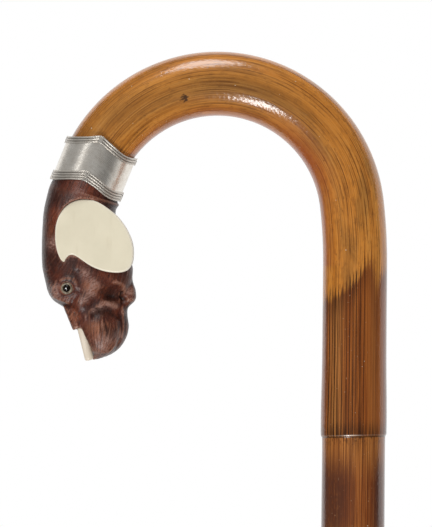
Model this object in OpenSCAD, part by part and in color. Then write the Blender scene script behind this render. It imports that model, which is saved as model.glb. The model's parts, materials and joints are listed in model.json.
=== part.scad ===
// Crook-handled walking cane with a carved elephant's head.
// A knotted cane stick is bent into a crook. A silver collar joins the crook's end to the head, which
// hangs nose down. Cream ear plates and tusks are let into the dark wood. A brass ferrule shoes the foot.
// Frame: origin at the middle of the foot's flat face, +Z up the shaft, crook towards -X,
// and the head's left side faces -Y.

/* [Stick] */
// Height of the whole cane, from the foot to the top of the crook
cane_height = 910; // [700:1:1000]
// Diameter of the stick along the crook and the top of the shaft
stick_d = 24.2; // [20:0.1:25]
// Diameter of the stick just above the ferrule
foot_d = 19.4; // [19.4:0.1:21]
// Radius of the crook, to the middle of the stick
crook_r = 50.7; // [46:0.1:60]
// Angle round the crook at which the stick ends, from the shaft's side
crook_end = 158.5; // [150:0.5:165]
// Radius of the slow bend between the shaft and the crook
ease_r = 189; // [120:1:260]
// Angle of that slow bend
ease_angle = 7; // [4:0.5:10]

/* [Knots] */
// Depth of the highest knot below the crook's centre
knot_drop = 81.6; // [60:0.1:120]
// Distance from one knot to the next
knot_pitch = 228; // [150:1:300]
// How far the stick swells above each knot, on the radius
knot_swell = 0.3; // [0:0.05:0.5]
// Height of the thin ridge on each knot
knot_ridge = 0.15; // [0.05:0.05:0.5]

/* [Collar] */
// Length of the collar
collar_len = 17.3; // [14:0.1:22]
// Wall of the plain band
collar_wall = 0.45; // [0.3:0.05:0.8]
// Play between the bent stick and the bore of the collar, on the radius
collar_play = 0.8; // [0.75:0.05:1.2]
// Reeds on the upper border
upper_reeds = 3; // [2:1:4]
// Reeds on the lower border
lower_reeds = 4; // [2:1:5]
// Width of one reed
reed_w = 0.7; // [0.4:0.05:0.9]
// Space between two reeds
reed_gap = 0.28; // [0.15:0.01:0.4]
// Height of a reed above its strip
reed_t = 0.25; // [0.15:0.05:0.6]
// Thickness of the strip that carries the reeds
strip_t = 0.1; // [0.05:0.05:0.3]
// Width of a ribbon tie
tie_w = 0.7; // [0.4:0.05:1.2]
// Thickness of a ribbon tie
tie_t = 0.25; // [0.15:0.05:0.4]

/* [Head] */
// Length of the carved head below the collar, along the stick's line
head_len = 57.3; // [48:0.1:66]
// Width of the carved head across the forehead
head_w = 26.6; // [24:0.1:30]
// Height of the carved relief
relief = 1; // [0:0.1:1.3]

/* [Ears] */
// Thickness of an ear plate
ear_t = 2.4; // [1.8:0.1:3.5]
// Distance of an ear's seat from the middle plane, at the ear's front edge
ear_seat = 9.5; // [9:0.1:11]
// Angle by which an ear stands out towards the throat
ear_splay = 5; // [0:0.5:8]
// Diameter of the blind pegs behind an ear
peg_d = 2; // [1.2:0.1:2.6]
// Depth of a peg in the ear plate
peg_in_ear = 1.2; // [0.8:0.1:1.5]
// Depth of a peg in the wood
peg_in_wood = 4.5; // [3:0.1:6]

/* [Tusks] */
// Distance of a tusk from the middle plane
tusk_y = 5; // [4.2:0.1:6]
// Diameter of a tusk at its root
tusk_root_d = 3.6; // [3:0.1:4.2]
// Diameter of a tusk at its blunt tip
tusk_tip_d = 3.3; // [2.4:0.1:3.8]
// Wall of the wooden sheath round a tusk
sheath_wall = 0.8; // [0.5:0.05:1.2]

/* [Eyes] */
// Outer diameter of the pale ring round an eye
eye_ring_d = 4.4; // [3.6:0.1:5.5]
// Diameter of the glass bead
eye_glass_d = 3; // [2.2:0.1:3.2]
// Depth of the ring
eye_ring_t = 1.4; // [1:0.1:2]
// Angle by which the eyes look forward
eye_turn = 14; // [0:1:25]
// Diameter of the wire stem behind the bead
eye_wire_d = 0.6; // [0.4:0.05:0.9]
// Length of the wire stem
eye_wire_len = 5; // [3:0.1:6]

/* [Stud] */
// Diameter of the steel stud between the stick and the head
stud_d = 6; // [4:0.1:8]
// Depth of the stud in the stick, and as much in the head
stud_depth = 14; // [10:0.5:18]

/* [Ferrule] */
// Length of the brass shell
ferrule_len = 32; // [24:0.5:40]
// Outer diameter of the brass shell
ferrule_d = 19; // [18:0.1:19.2]
// Wall of the brass shell
ferrule_wall = 0.8; // [0.5:0.05:1.2]
// Length of the plain part below the bead
ferrule_plain = 22; // [14:0.5:23]
// Height of the steel tip that shows below the shell
tip_show = 2; // [1:0.1:4]
// Height of the steel tip inside the shell
tip_inside = 4; // [2:0.1:6]
// Diameter of the spike on the steel tip
spike_d = 4; // [3:0.1:6]
// Length of the spike
spike_len = 18; // [10:0.5:26]
// Diameter of a ferrule nail
nail_d = 1.5; // [1:0.1:2]
// Length of a ferrule nail, under its head
nail_len = 5; // [3:0.1:6]

/* [Hidden] */

// Clearances: fixed pieces seat with a glue line, flat faces meet with a hair between them
glue = 0.05;
hair = 0.1;
round_fn = 64;
seam_proud = 0.02;
seam_h = 1;

cane_colour = [0.62, 0.41, 0.2];
silver = [0.72, 0.71, 0.68];
head_colour = [0.3, 0.14, 0.1];
cream = [0.89, 0.86, 0.76];
brass = [0.75, 0.6, 0.32];
steel = [0.5, 0.5, 0.52];

stick_r = stick_d / 2;
foot_r = foot_d / 2;
crook_x = -ease_r * (1 - cos(ease_angle)) - crook_r * cos(ease_angle);
crook_z = cane_height - crook_r - stick_r;
shaft_top = crook_z - (ease_r - crook_r) * sin(ease_angle);
end_tilt = 180 - crook_end;

// The collar's axis lies a little inside the bent stick's middle line, so that a straight sleeve clears it
collar_shift = 0.65;
bore_r = stick_r + collar_play;
sleeve_r = bore_r + collar_wall;
strip_r = sleeve_r + glue / 2 + strip_t;
reed_r = strip_r + reed_t;
neck_r = bore_r - 0.15;

// Wave of both collar edges, [across as a share of the radius, height along the stick]
WAVE = [[-1.15, -1.1], [-1, -0.9], [-0.75, 0.2], [-0.45, 1.8], [-0.15, 3.1], [0.08, 2.7],
    [0.3, 2.0], [0.55, 0.8], [0.72, 0.35], [0.88, 0.5], [1, 0.95], [1.15, 1.2]];
peak_at = -0.1;
peak_lift = 0.65;

// The head is drawn in the collar's frame: [across, towards the throat; along, up the stick].
// HEAD_TOP is where the drawing starts to scale with the head's length.
HEAD_TOP = -9.5;
drawn_len = 57.3;
drawn_w = 26.6;
head_k = head_len / drawn_len;
wide_k = head_w / drawn_w;

// Stations down the head. Each is a slanted slice, from a front point to a point on the throat side:
// [front, throat, half width, how far the throat side narrows, radius of the trunk's end,
// how far that end stands out past the rest]
STATIONS = [
    [[-12.8, -13.6], [13.5, -11.0], 13.1, 0.02, 3, 0],
    [[-11.7, -20.7], [14.4, -13.6], 13.3, 0.04, 3, 0],
    [[-10.2, -25.8], [16.7, -16.7], 13.3, 0.06, 3, 0],
    [[-8.2, -31.5], [19.7, -21.0], 13.3, 0.08, 3, 0],
    [[-5.9, -37.4], [23.8, -25.2], 13.0, 0.1, 3, 0],
    [[-3.8, -41.8], [27.3, -28.6], 12.6, 0.14, 3, 0],
    [[-1.1, -45.8], [29.0, -33.0], 12.2, 0.2, 3, 0],
    [[1.5, -49.3], [31.7, -36.4], 11.6, 0.24, 3.4, 2.6],
    [[4.6, -51.4], [32.9, -39.7], 10.8, 0.24, 3.8, 3.4],
    [[9.3, -52.4], [31.5, -43.4], 9.8, 0.22, 4, 2.6],
    [[11.4, -54.2], [32.5, -46.5], 9.3, 0.18, 4.2, 2.2],
    [[14.5, -57.0], [34.3, -49.7], 9.0, 0.14, 4.4, 2.3],
    [[17.4, -58.6], [35.0, -53.4], 8.8, 0.1, 4.6, 2.2],
    [[20.1, -60.6], [34.6, -57.2], 8.4, 0.06, 4.8, 1.4],
    [[23.5, -63.2], [33.1, -60.6], 7.2, 0.02, 4.8, 0.4],
    [[26.0, -65.2], [31.1, -63.9], 4.8, 0, 2.5, 0],
    [[27.4, -66.3], [29.3, -65.8], 2.4, 0, 0.9, 0]];

// Relief of a side: round swellings and hollows, [middle, radius, height]
BUMPS = [
    [[4.6, -49.0], 4.0, 0.7],
    [[7.4, -45.2], 4.2, 0.9],
    [[25.4, -40.6], 3.4, -2.2],
    [[25.4, -48.6], 2.8, -0.9],
    [[27.0, -56.0], 6.5, 0.8],
    [[11.6, -43.2], 2.4, -0.6]];

// Relief of a side: ridges, [start, end, width, height]
RIDGES = [
    [[9.7, -37.2], [15.9, -40.7], 3.0, 0.8],
    [[15.9, -40.7], [15.2, -51.0], 3.2, 0.9],
    [[18.9, -52.1], [19.6, -48.6], 1.5, 0.9],
    [[19.6, -48.6], [24.1, -44.9], 1.5, 0.9],
    [[24.1, -44.9], [29.0, -45.1], 1.5, 0.9]];

// Outline of an ear plate, clockwise from the middle of its upper edge
EAR = [[1.8, -11.7], [4.6, -11.0], [7.7, -11.1], [11.0, -11.8], [14.0, -12.7], [17.1, -14.2],
    [19.8, -16.0], [22.4, -18.3], [24.5, -20.9], [25.9, -23.7], [26.8, -26.8], [26.7, -29.4],
    [25.4, -31.3], [22.6, -32.9], [18.4, -34.0], [14.0, -34.2], [10.3, -33.6], [7.3, -32.9],
    [5.2, -32.8], [3.9, -33.5], [3.3, -34.9], [3.0, -36.4], [1.6, -36.0], [-0.4, -34.2],
    [-2.3, -31.5], [-3.8, -28.4], [-4.9, -24.9], [-5.2, -21.3], [-4.6, -17.9], [-3.0, -15.0],
    [-0.7, -12.9]];
EAR_FRONT = -5.2;
PEGS = [[3.5, -20.5], [14.5, -24.5]];

EYE = [7.4, -45.2];
TUSK = [[12.7, -49.2], [24.5, -65.7]];
SHEATH = [[10.9, -50.6], [17.35, -57.25]];

// Scales a point of the head's drawing with the head's length
function drawn(p) = [p[0] * head_k, HEAD_TOP + (p[1] - HEAD_TOP) * head_k];

// A point of a smooth curve through points a, b, c and d, at t between b and c
function blend(a, b, c, d, t) =
    0.5 * (2 * b + (c - a) * t + (2 * a - 5 * b + 4 * c - d) * t * t + (3 * b - a - 3 * c + d) * t * t * t);

// Smooth open curve through a list of points, with n steps between two of them
function smooth(p, n) = [for (i = [0:len(p) - 2], j = [0:n - 1])
    blend(p[max(i - 1, 0)], p[i], p[i + 1], p[min(i + 2, len(p) - 1)], j / n), p[len(p) - 1]];

// Smooth closed curve through a list of points
function smooth_loop(p, n) = [for (i = [0:len(p) - 1], j = [0:n - 1])
    blend(p[(i + len(p) - 1) % len(p)], p[i], p[(i + 1) % len(p)], p[(i + 2) % len(p)], j / n)];

// Distance from point p to the line between a and b
function off_line(p, a, b) = let (
    along = max(0, min(1, (p - a) * (b - a) / ((b - a) * (b - a)))))
    norm(p - a - along * (b - a));

// Bell curve
function bell(x) = exp(-x * x);

function sum(v, i = 0) = i < len(v) ? v[i] + sum(v, i + 1) : 0;

// Height of the carved relief at a point of the drawing
function carved(p) = relief * (
    sum([for (b = BUMPS) b[2] * bell(norm(p - b[0]) / b[1])])
    + sum([for (r = RIDGES) r[3] * bell(off_line(p, r[0], r[1]) / r[2])]));

// Radius of the stick at a height, with its taper, its knots and their ridges
knot_top = crook_z - knot_drop;
knots = [for (z = knot_top; z > ferrule_len + tip_show + 12; z = z - knot_pitch) z];
function taper_r(z) = z > knot_top ? stick_r
    : foot_r + (stick_r - foot_r) * (z - ferrule_len - tip_show) / (knot_top - ferrule_len - tip_show);
function knot_r(d) = d > 0 ? knot_swell * bell((d - 6) / 16) + knot_ridge * bell(d / 0.7)
    : knot_swell * bell(d / 3) * bell(6 / 16) + knot_ridge * bell(d / 0.7) - 0.15 * bell((d + 1.6) / 0.7);
function stick_at(z) = taper_r(z) + sum([for (k = knots) knot_r(z - k)]);

// Heights at which the stick's outline is drawn: close together at each knot
knot_steps = [-5, -3, -2.2, -1.6, -1, -0.6, -0.3, 0, 0.3, 0.6, 1, 2, 4, 8, 13, 18, 24, 32, 42];

// Wave of a line round the collar, at a height of the collar: the upper edge's front point is higher
WAVE_SMOOTH = smooth(WAVE, 4);
function wave(u, h) = lookup(u, WAVE_SMOOTH) + peak_lift * bell((u - peak_at) / 0.25) * (h / collar_len + 0.5);

module at_crook_end()
    translate([crook_x + crook_r * cos(crook_end), 0, crook_z + crook_r * sin(crook_end)])
        rotate([0, end_tilt, 0])
            children();

module at_collar()
    at_crook_end()
        translate([collar_shift, 0, 0])
            children();

// Part of the stick that follows a bend, from one angle to another
module bend(centre_x, centre_z, radius, from, to)
    translate([centre_x, 0, centre_z])
        rotate([90, 0, 0])
            rotate([0, 0, from])
                rotate_extrude(angle = to - from, $fn = round_fn)
                    translate([radius, 0])
                        circle(r = stick_r, $fn = round_fn);

// Faint bands over the two lines where the shaft, the slow bend and the crook meet
module bend_seams()
    for (a = [0, ease_angle])
        translate([-ease_r * (1 - cos(a)), 0, shaft_top + ease_r * sin(a)])
            rotate([0, -a, 0])
                cylinder(r = stick_r + seam_proud, h = seam_h, center = true, $fn = round_fn);

module shaft() {
    foot = tip_show + tip_inside + hair;
    shoulder = tip_show + ferrule_len + hair;
    spigot_r = ferrule_d / 2 - ferrule_wall - glue;
    heights = concat([shoulder], [for (i = [len(knots) - 1:-1:0], s = knot_steps) knots[i] + s], [shaft_top]);
    rotate_extrude($fn = round_fn)
        polygon(concat(
            [[0, foot], [spigot_r - 0.6, foot], [spigot_r, foot + 0.6], [spigot_r, shoulder]],
            [for (z = heights) [z == shaft_top ? stick_r : stick_at(z), z]],
            [[0, shaft_top]]));
}

module stud(clear = 0)
    at_collar()
        translate([0, 0, -stud_depth - clear])
            cylinder(r = stud_d / 2 + clear, h = 2 * (stud_depth + clear), $fn = round_fn);

module spike(clear = 0)
    translate([0, 0, tip_show + tip_inside - hair])
        cylinder(r1 = spike_d / 2 + clear, r2 = spike_d / 4 + clear, h = spike_len + clear + hair,
            $fn = round_fn);

module nails(clear = 0) {
    nail_z = tip_show + (ferrule_plain + ferrule_len) / 2 + 0.8;
    for (side = [0, 180])
        rotate([0, 0, side])
            translate([ferrule_d / 2, 0, nail_z])
                rotate([0, 90, 0]) {
                    translate([0, 0, -nail_len - clear])
                        cylinder(r = nail_d / 2 + clear, h = nail_len + clear + hair, $fn = 32);
                    cylinder(r1 = nail_d * 0.9, r2 = nail_d * 0.5, h = 0.5, $fn = 32);
                }
}

module cane()
    color(cane_colour)
        difference() {
            union() {
                shaft();
                bend(-ease_r, shaft_top, ease_r, 0, ease_angle);
                bend_seams();
                bend(crook_x, crook_z, crook_r, ease_angle, crook_end);
            }
            stud(glue);
            spike(glue);
            nails(glue);
        }

module neck_stud()
    color(steel)
        difference() {
            stud();
            // Grooves that hold the glue
            for (z = [-10:4:-2], side = [0, 180])
                at_collar()
                    rotate([side, 0, 0])
                        translate([0, 0, z])
                            rotate_extrude($fn = round_fn)
                                translate([stud_d / 2 - 0.3, -0.4])
                                    square([0.6, 0.8]);
        }

// Sheet round the collar's axis, between two waved edges at heights low and high
module waved_band(inner, outer, low, high) {
    reach = sleeve_r * 1.1;
    across = [for (i = [-11:11]) i / 10];
    at_collar()
        intersection() {
            difference() {
                cylinder(r = outer, h = collar_len * 2, center = true, $fn = 96);
                cylinder(r = inner, h = collar_len * 2 + 1, center = true, $fn = 96);
            }
            rotate([90, 0, 0])
                linear_extrude(4 * outer, center = true)
                    polygon(concat(
                        [for (u = across) [u * sleeve_r, low + wave(u, low)]],
                        [for (i = [len(across) - 1:-1:0])
                            [across[i] * sleeve_r, high + wave(across[i], high)]]));
        }
}

module reeded_border(low, reeds) {
    width = reeds * reed_w + (reeds - 1) * reed_gap;
    color(silver)
        union() {
            waved_band(sleeve_r + glue / 2, strip_r, low, low + width);
            for (i = [0:reeds - 1])
                waved_band(sleeve_r + glue / 2, reed_r, low + i * (reed_w + reed_gap),
                    low + i * (reed_w + reed_gap) + reed_w);
        }
}

module collar_sleeve()
    color(silver)
        waved_band(bore_r, sleeve_r, -collar_len / 2, collar_len / 2);

upper_w = upper_reeds * reed_w + (upper_reeds - 1) * reed_gap;
lower_w = lower_reeds * reed_w + (lower_reeds - 1) * reed_gap;

module collar_upper_border()
    reeded_border(collar_len / 2 - upper_w, upper_reeds);

module collar_lower_border()
    reeded_border(-collar_len / 2, lower_reeds);

// Two crossed ribbons over a border, drawn at [across, along] and cut right through
module cross(across, along, width)
    translate([across, 0, along])
        for (lean = [-28, 28])
            rotate([0, lean, 0])
                cube([tie_w, 4 * sleeve_r, width], center = true);

module collar_ties() {
    upper_z = collar_len / 2 - upper_w / 2;
    lower_z = lower_w / 2 - collar_len / 2;
    color(silver)
        at_collar()
            intersection() {
                difference() {
                    cylinder(r = reed_r + glue / 2 + tie_t, h = collar_len * 2, center = true, $fn = 96);
                    cylinder(r = reed_r + glue / 2, h = collar_len * 2 + 1, center = true, $fn = 96);
                }
                union() {
                    cross(peak_at * sleeve_r, upper_z + wave(peak_at, upper_z), upper_w * 1.1);
                    cross(peak_at * sleeve_r, lower_z + wave(peak_at, lower_z), lower_w * 1.1);
                    for (side = [-1, 1], at = [[upper_z, upper_w], [lower_z, lower_w]])
                        intersection() {
                            rotate([0, 0, 90])
                                cross(0, at[0] + wave(side, at[0]), at[1] * 1.1);
                            translate([side * 2 * sleeve_r, 0, 0])
                                cube([4 * sleeve_r, 4 * sleeve_r, 4 * collar_len], center = true);
                        }
                }
            }
}

// Skin of the head: a ring of points round each station, pushed out by the relief on both sides
ring_n = 40;
fullness = 2.5;
function flat_station(s) = [s[0][0], s[0][1], s[1][0], s[1][1], s[2], s[3], s[4], s[5]];
neck_stations = [
    [[-neck_r, -0.3], [neck_r, -0.3], neck_r, 0, 3, 0],
    [[-neck_r, -9.7], [neck_r, -8.15], neck_r, 0, 3, 0],
    [[-neck_r - 0.15, -10.9], [neck_r + 1.2, -9.0], neck_r + 0.35, 0, 3, 0]];
head_rows = concat(
    [flat_station(neck_stations[0]), flat_station(neck_stations[1])],
    smooth(concat([flat_station(neck_stations[2])],
        [for (s = STATIONS) flat_station([drawn(s[0]), drawn(s[1]), s[2] * wide_k, s[3], s[4], s[5]])]), 3));

// Half width of a slice at distance q from its front: the head's mass, or the trunk's end where it is wider
function mass_y(q, long, half, power) = q >= long ? 0
    : half * pow(1 - pow(abs(2 * q / long - 1), power), 1 / power);
function trunk_y(q, long, r) = q <= long - 2 * r ? 0 : sqrt(max(0, r * r - pow(q - long + r, 2)));
function slice_y(q, row, long, power) = max(
    mass_y(q, long - row[7], row[4], power) * (1 - row[5] * q / long),
    trunk_y(q, long, row[6]));

// One ring. The slices are round at the neck and grow fuller down the head, where the relief fades in.
function head_ring(row, share) = let (
    front = [row[0], row[1]],
    throat = [row[2], row[3]],
    long = norm(throat - front),
    power = 2 + (fullness - 2) * share)
    [for (i = [0:ring_n - 1]) let (
        a = 360 * i / ring_n,
        q = long * (1 - cos(a)) / 2,
        at = front + q * (throat - front) / long,
        side = i == 0 || 2 * i == ring_n ? 0 : sign(sin(a)),
        flank = share * min(1, 1.6 * abs(sin(a))))
        [at[0], side * (slice_y(q, row, long, power) + flank * carved(at)), at[1]]];

module skin(rings) {
    n = len(rings[0]);
    m = len(rings);
    polyhedron(
        points = [for (r = rings) each r],
        faces = concat(
            [[for (i = [0:n - 1]) i]],
            [for (k = [0:m - 2], i = [0:n - 1]) [k * n + i, (k + 1) * n + i, k * n + (i + 1) % n]],
            [for (k = [0:m - 2], i = [0:n - 1])
                [(k + 1) * n + i, (k + 1) * n + (i + 1) % n, k * n + (i + 1) % n]],
            [[for (i = [n - 1:-1:0]) (m - 1) * n + i]]));
}

module head_blank()
    skin([for (k = [0:len(head_rows) - 1])
        head_ring(head_rows[k], min(1, max(0, (k - 2) / 6)))]);

// Round rod with a domed end, from point a to point b of the middle drawing; the dome is at b
module domed_rod(a, b, r1, r2) {
    d = b - a;
    h = norm(d) + r2;
    dome = [for (t = [0:15:90]) [r2 * cos(t), norm(d) + r2 * sin(t)]];
    translate([a[0], 0, a[1]])
        rotate([0, atan2(d[0], d[1]), 0])
            rotate_extrude($fn = 48)
                polygon(concat([[0, 0], [r1, 0]], [for (p = dome) p[0] < 0.001 ? [0, h] : p]));
}

// The left tusk: a root in its socket and a blunt end that shows
module tusk(clear = 0)
    translate([0, -tusk_y, 0])
        domed_rod(drawn(TUSK[0]), drawn(TUSK[1]), tusk_root_d / 2 + clear, tusk_tip_d / 2 + clear);

// Wooden sheath round the left tusk's root
module sheath()
    translate([0, -tusk_y, 0])
        domed_rod(drawn(SHEATH[1]), drawn(SHEATH[0]), tusk_root_d / 2 + sheath_wall,
            tusk_root_d / 2 + sheath_wall);

// Frame of the left ear: X and Y as in the drawing, Z out of the head
module at_ear()
    translate([EAR_FRONT * head_k, -ear_seat * wide_k, 0])
        rotate([0, 0, -ear_splay])
            translate([-EAR_FRONT * head_k, 0, 0])
                rotate([90, 0, 0])
                    children();

module ear_outline()
    polygon(smooth_loop([for (p = EAR) drawn(p)], 3));

module pegs(clear = 0)
    at_ear()
        for (p = PEGS)
            translate([drawn(p)[0], drawn(p)[1], -peg_in_wood - clear])
                cylinder(r = peg_d / 2 + clear, h = peg_in_wood + peg_in_ear + 2 * clear, $fn = 32);

// Frame of the left eye: Z looks out of the socket
eye_out = 11.3 * wide_k;
module at_eye()
    translate([drawn(EYE)[0], -eye_out, drawn(EYE)[1]])
        rotate([0, 0, -eye_turn])
            rotate([90, 0, 0])
                children();

module eye_wire()
    at_eye()
        translate([0, 0, -eye_ring_t - eye_wire_len])
            cylinder(d = eye_wire_d, h = eye_wire_len, $fn = 24);

module eye_socket()
    at_eye() {
        translate([0, 0, -eye_ring_t - hair])
            cylinder(d = eye_ring_d + 2 * glue, h = eye_ring_t + 5, $fn = 48);
        translate([0, 0, -eye_ring_t - eye_wire_len - hair])
            cylinder(d = eye_wire_d + 2 * glue, h = eye_wire_len + 1, $fn = 24);
    }

module eye_glass()
    at_eye()
        intersection() {
            translate([0, 0, -0.35 * eye_glass_d])
                sphere(d = eye_glass_d * 1.1, $fn = 48);
            translate([0, 0, -eye_ring_t + hair])
                cylinder(d = eye_glass_d, h = eye_glass_d * 2, $fn = 48);
        }

module eye_ring()
    at_eye()
        translate([0, 0, -eye_ring_t])
            difference() {
                rotate_extrude($fn = 48)
                    polygon([[eye_wire_d / 2 + glue, 0], [eye_ring_d / 2, 0], [eye_ring_d / 2, eye_ring_t - 0.3],
                        [eye_ring_d / 2 - 0.35, eye_ring_t + 0.05], [eye_glass_d / 2 + glue, eye_ring_t],
                        [eye_glass_d / 2 + glue, 0.3], [eye_wire_d / 2 + glue, 0.3]]);
            }

module one_side_cuts() {
    at_ear()
        linear_extrude(3 * ear_t)
            offset(delta = glue)
                ear_outline();
    pegs(glue);
    eye_socket();
    tusk(glue);
}

module carved_head()
    color(head_colour)
        difference() {
            at_collar()
                difference() {
                    union() {
                        head_blank();
                        sheath();
                        mirror([0, 1, 0])
                            sheath();
                    }
                    one_side_cuts();
                    mirror([0, 1, 0])
                        one_side_cuts();
                }
            stud(glue);
        }

module ear_plate()
    difference() {
        at_ear()
            translate([0, 0, hair])
                linear_extrude(ear_t)
                    ear_outline();
        pegs(glue);
    }

module ear_plate_left()
    color(cream)
        at_collar()
            ear_plate();

module ear_plate_right()
    color(cream)
        at_collar()
            mirror([0, 1, 0])
                ear_plate();

module ear_pegs_left()
    color(cream)
        at_collar()
            pegs();

module ear_pegs_right()
    color(cream)
        at_collar()
            mirror([0, 1, 0])
                pegs();

module tusk_left()
    color(cream)
        at_collar()
            tusk();

module tusk_right()
    color(cream)
        at_collar()
            mirror([0, 1, 0])
                tusk();

module eye_ring_left()
    color(cream)
        at_collar()
            eye_ring();

module eye_ring_right()
    color(cream)
        at_collar()
            mirror([0, 1, 0])
                eye_ring();

module eye_glass_left()
    color("black")
        at_collar()
            eye_glass();

module eye_glass_right()
    color("black")
        at_collar()
            mirror([0, 1, 0])
                eye_glass();

module eye_wire_left()
    color(steel)
        at_collar()
            eye_wire();

module eye_wire_right()
    color(steel)
        at_collar()
            mirror([0, 1, 0])
                eye_wire();

// Brass shell: plain below, a bead, then the band that the nails go through
module ferrule_shell() {
    r = ferrule_d / 2;
    color(brass)
        difference() {
            translate([0, 0, tip_show])
                rotate_extrude($fn = round_fn)
                    polygon([[r - ferrule_wall, 0], [r - 0.2, 0], [r, 0.2], [r, ferrule_plain],
                        [r + 0.35, ferrule_plain + 0.3], [r + 0.35, ferrule_plain + 1.1],
                        [r, ferrule_plain + 1.4], [r, ferrule_len], [r - ferrule_wall, ferrule_len]]);
            nails(glue);
        }
}

module ferrule_tip() {
    r = ferrule_d / 2 - ferrule_wall - glue;
    color(steel)
        union() {
            rotate_extrude($fn = round_fn)
                polygon([[0, 0], [r - 0.8, 0], [r, 0.8], [r, tip_show + tip_inside], [0, tip_show + tip_inside]]);
            spike();
        }
}

module ferrule_nails()
    color(brass)
        nails();

cane();
neck_stud();
collar_sleeve();
collar_upper_border();
collar_lower_border();
collar_ties();
carved_head();
ear_plate_left();
ear_plate_right();
ear_pegs_left();
ear_pegs_right();
tusk_left();
tusk_right();
eye_ring_left();
eye_ring_right();
eye_glass_left();
eye_glass_right();
eye_wire_left();
eye_wire_right();
ferrule_shell();
ferrule_tip();
ferrule_nails();
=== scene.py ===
# %% [markdown]
# # A walking cane with a carved elephant's head
#
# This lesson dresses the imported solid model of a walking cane: a knotted stick bent into a crook, a
# silver collar, and a dark wooden elephant's head that hangs nose down, with cream ears and tusks. The
# solid model fixes every size and place. Blender adds the fine shapes and the finishes.

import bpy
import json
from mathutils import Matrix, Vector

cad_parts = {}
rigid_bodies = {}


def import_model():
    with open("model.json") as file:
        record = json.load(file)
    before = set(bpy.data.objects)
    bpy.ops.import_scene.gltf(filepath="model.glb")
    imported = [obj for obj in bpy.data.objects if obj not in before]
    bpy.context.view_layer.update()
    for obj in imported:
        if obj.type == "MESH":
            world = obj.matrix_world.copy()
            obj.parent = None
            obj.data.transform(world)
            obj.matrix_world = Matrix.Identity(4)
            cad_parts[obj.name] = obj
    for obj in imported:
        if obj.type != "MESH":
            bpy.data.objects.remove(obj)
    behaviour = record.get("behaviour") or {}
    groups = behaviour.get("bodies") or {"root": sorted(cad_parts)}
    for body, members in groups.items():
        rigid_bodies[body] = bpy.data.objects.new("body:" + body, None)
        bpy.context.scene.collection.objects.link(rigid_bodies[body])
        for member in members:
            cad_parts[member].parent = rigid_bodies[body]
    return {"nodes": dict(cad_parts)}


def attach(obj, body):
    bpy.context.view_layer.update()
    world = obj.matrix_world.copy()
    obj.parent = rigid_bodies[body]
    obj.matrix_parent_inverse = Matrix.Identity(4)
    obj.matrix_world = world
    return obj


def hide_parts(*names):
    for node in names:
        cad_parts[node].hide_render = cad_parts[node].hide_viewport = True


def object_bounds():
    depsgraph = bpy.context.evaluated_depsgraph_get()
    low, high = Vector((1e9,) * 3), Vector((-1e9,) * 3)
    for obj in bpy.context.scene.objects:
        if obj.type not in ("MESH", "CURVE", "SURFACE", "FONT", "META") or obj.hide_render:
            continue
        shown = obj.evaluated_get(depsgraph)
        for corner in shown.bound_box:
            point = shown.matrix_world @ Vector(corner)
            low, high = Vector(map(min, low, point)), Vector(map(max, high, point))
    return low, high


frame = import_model()
cad_low, cad_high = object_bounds()
print("solid pieces:", len(frame["nodes"]))

# %% [markdown]
# ## Millimetres, colours and two curves
#
# The cane is drawn in millimetres, as its maker would, and turned into metres once, when a mesh is
# made. A colour is written as it looks on a screen, from 0 to 255, and turned into the linear numbers
# that shaders want. Two curves do most of the shaping: a bell for what rises and fades round a place,
# and a smooth step for what begins or ends there. Blender's own units could be set to millimetres,
# but the solid model comes in metres, so only the lesson's numbers are in millimetres.

# %% Units, colours and curves
import json
import math

import bmesh
import bpy
import numpy as np
from mathutils import Matrix, Vector

MM = 0.001
SIDES = ((-1, "left"), (1, "right"))


def screen(red, green, blue):
    """Linear colour of a screen colour from 0 to 255."""
    part = [c / 255 for c in (red, green, blue)]
    return tuple(c / 12.92 if c <= 0.04045 else ((c + 0.055) / 1.055) ** 2.4 for c in part) + (1.0,)


def bell(x):
    """1 at 0, fading to nothing by about 2 on either side."""
    return np.exp(-np.square(x))


def step(x, low, high):
    """0 below low, 1 above high, smooth in between."""
    t = np.clip((np.asarray(x, float) - low) / (high - low), 0, 1)
    return t * t * (3 - 2 * t)


print("a middle grey of 128 is", round(screen(128, 128, 128)[0], 3), "in linear light")

# %% [markdown]
# ## From rings of points to pieces
#
# A mesh can be modelled by hand or built from lists of points and faces. Lists suit a cane, because
# nearly every piece is a stack of rings: the stick, the tusks, the plates, the beads. Each point can
# also carry named facts, such as how far it lies above a knot, and the finishes read these later.


# %% Rings, faces and facts
def tube_faces(rings, around, caps=True):
    """Quads between rings of points, and a face at each end."""
    faces = []
    for k in range(rings - 1):
        a, b = k * around, (k + 1) * around
        faces += [(a + i, a + (i + 1) % around, b + (i + 1) % around, b + i) for i in range(around)]
    if caps:
        faces.append(tuple(range(around - 1, -1, -1)))
        faces.append(tuple((rings - 1) * around + i for i in range(around)))
    return faces


def face_outwards(mesh):
    """Turns a closed mesh the right way out."""
    shape = bmesh.new()
    shape.from_mesh(mesh)
    if shape.calc_volume(signed=True) < 0:
        bmesh.ops.reverse_faces(shape, faces=shape.faces)
        shape.to_mesh(mesh)
    shape.free()


def add_fact(mesh, key, values):
    """One number or vector for each point, which a finish can read by its name."""
    values = np.asarray(values, np.float32)
    kind, field = ("FLOAT_VECTOR", "vector") if values.ndim == 2 else ("FLOAT", "value")
    layer = mesh.attributes.get(key) or mesh.attributes.new(key, kind, "POINT")
    layer.data.foreach_set(field, values.ravel())


print("a tube of 3 rings of 8 points has", len(tube_faces(3, 8)), "faces with its ends")


# %% Pieces, and the solids they stand for
def put_in_scene(name, points, faces):
    """A new mesh object, with its points as given."""
    mesh = bpy.data.meshes.new(name)
    mesh.from_pydata(np.asarray(points, float).tolist(), [], faces)
    piece = bpy.data.objects.new(name, mesh)
    bpy.context.scene.collection.objects.link(piece)
    return piece


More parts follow.
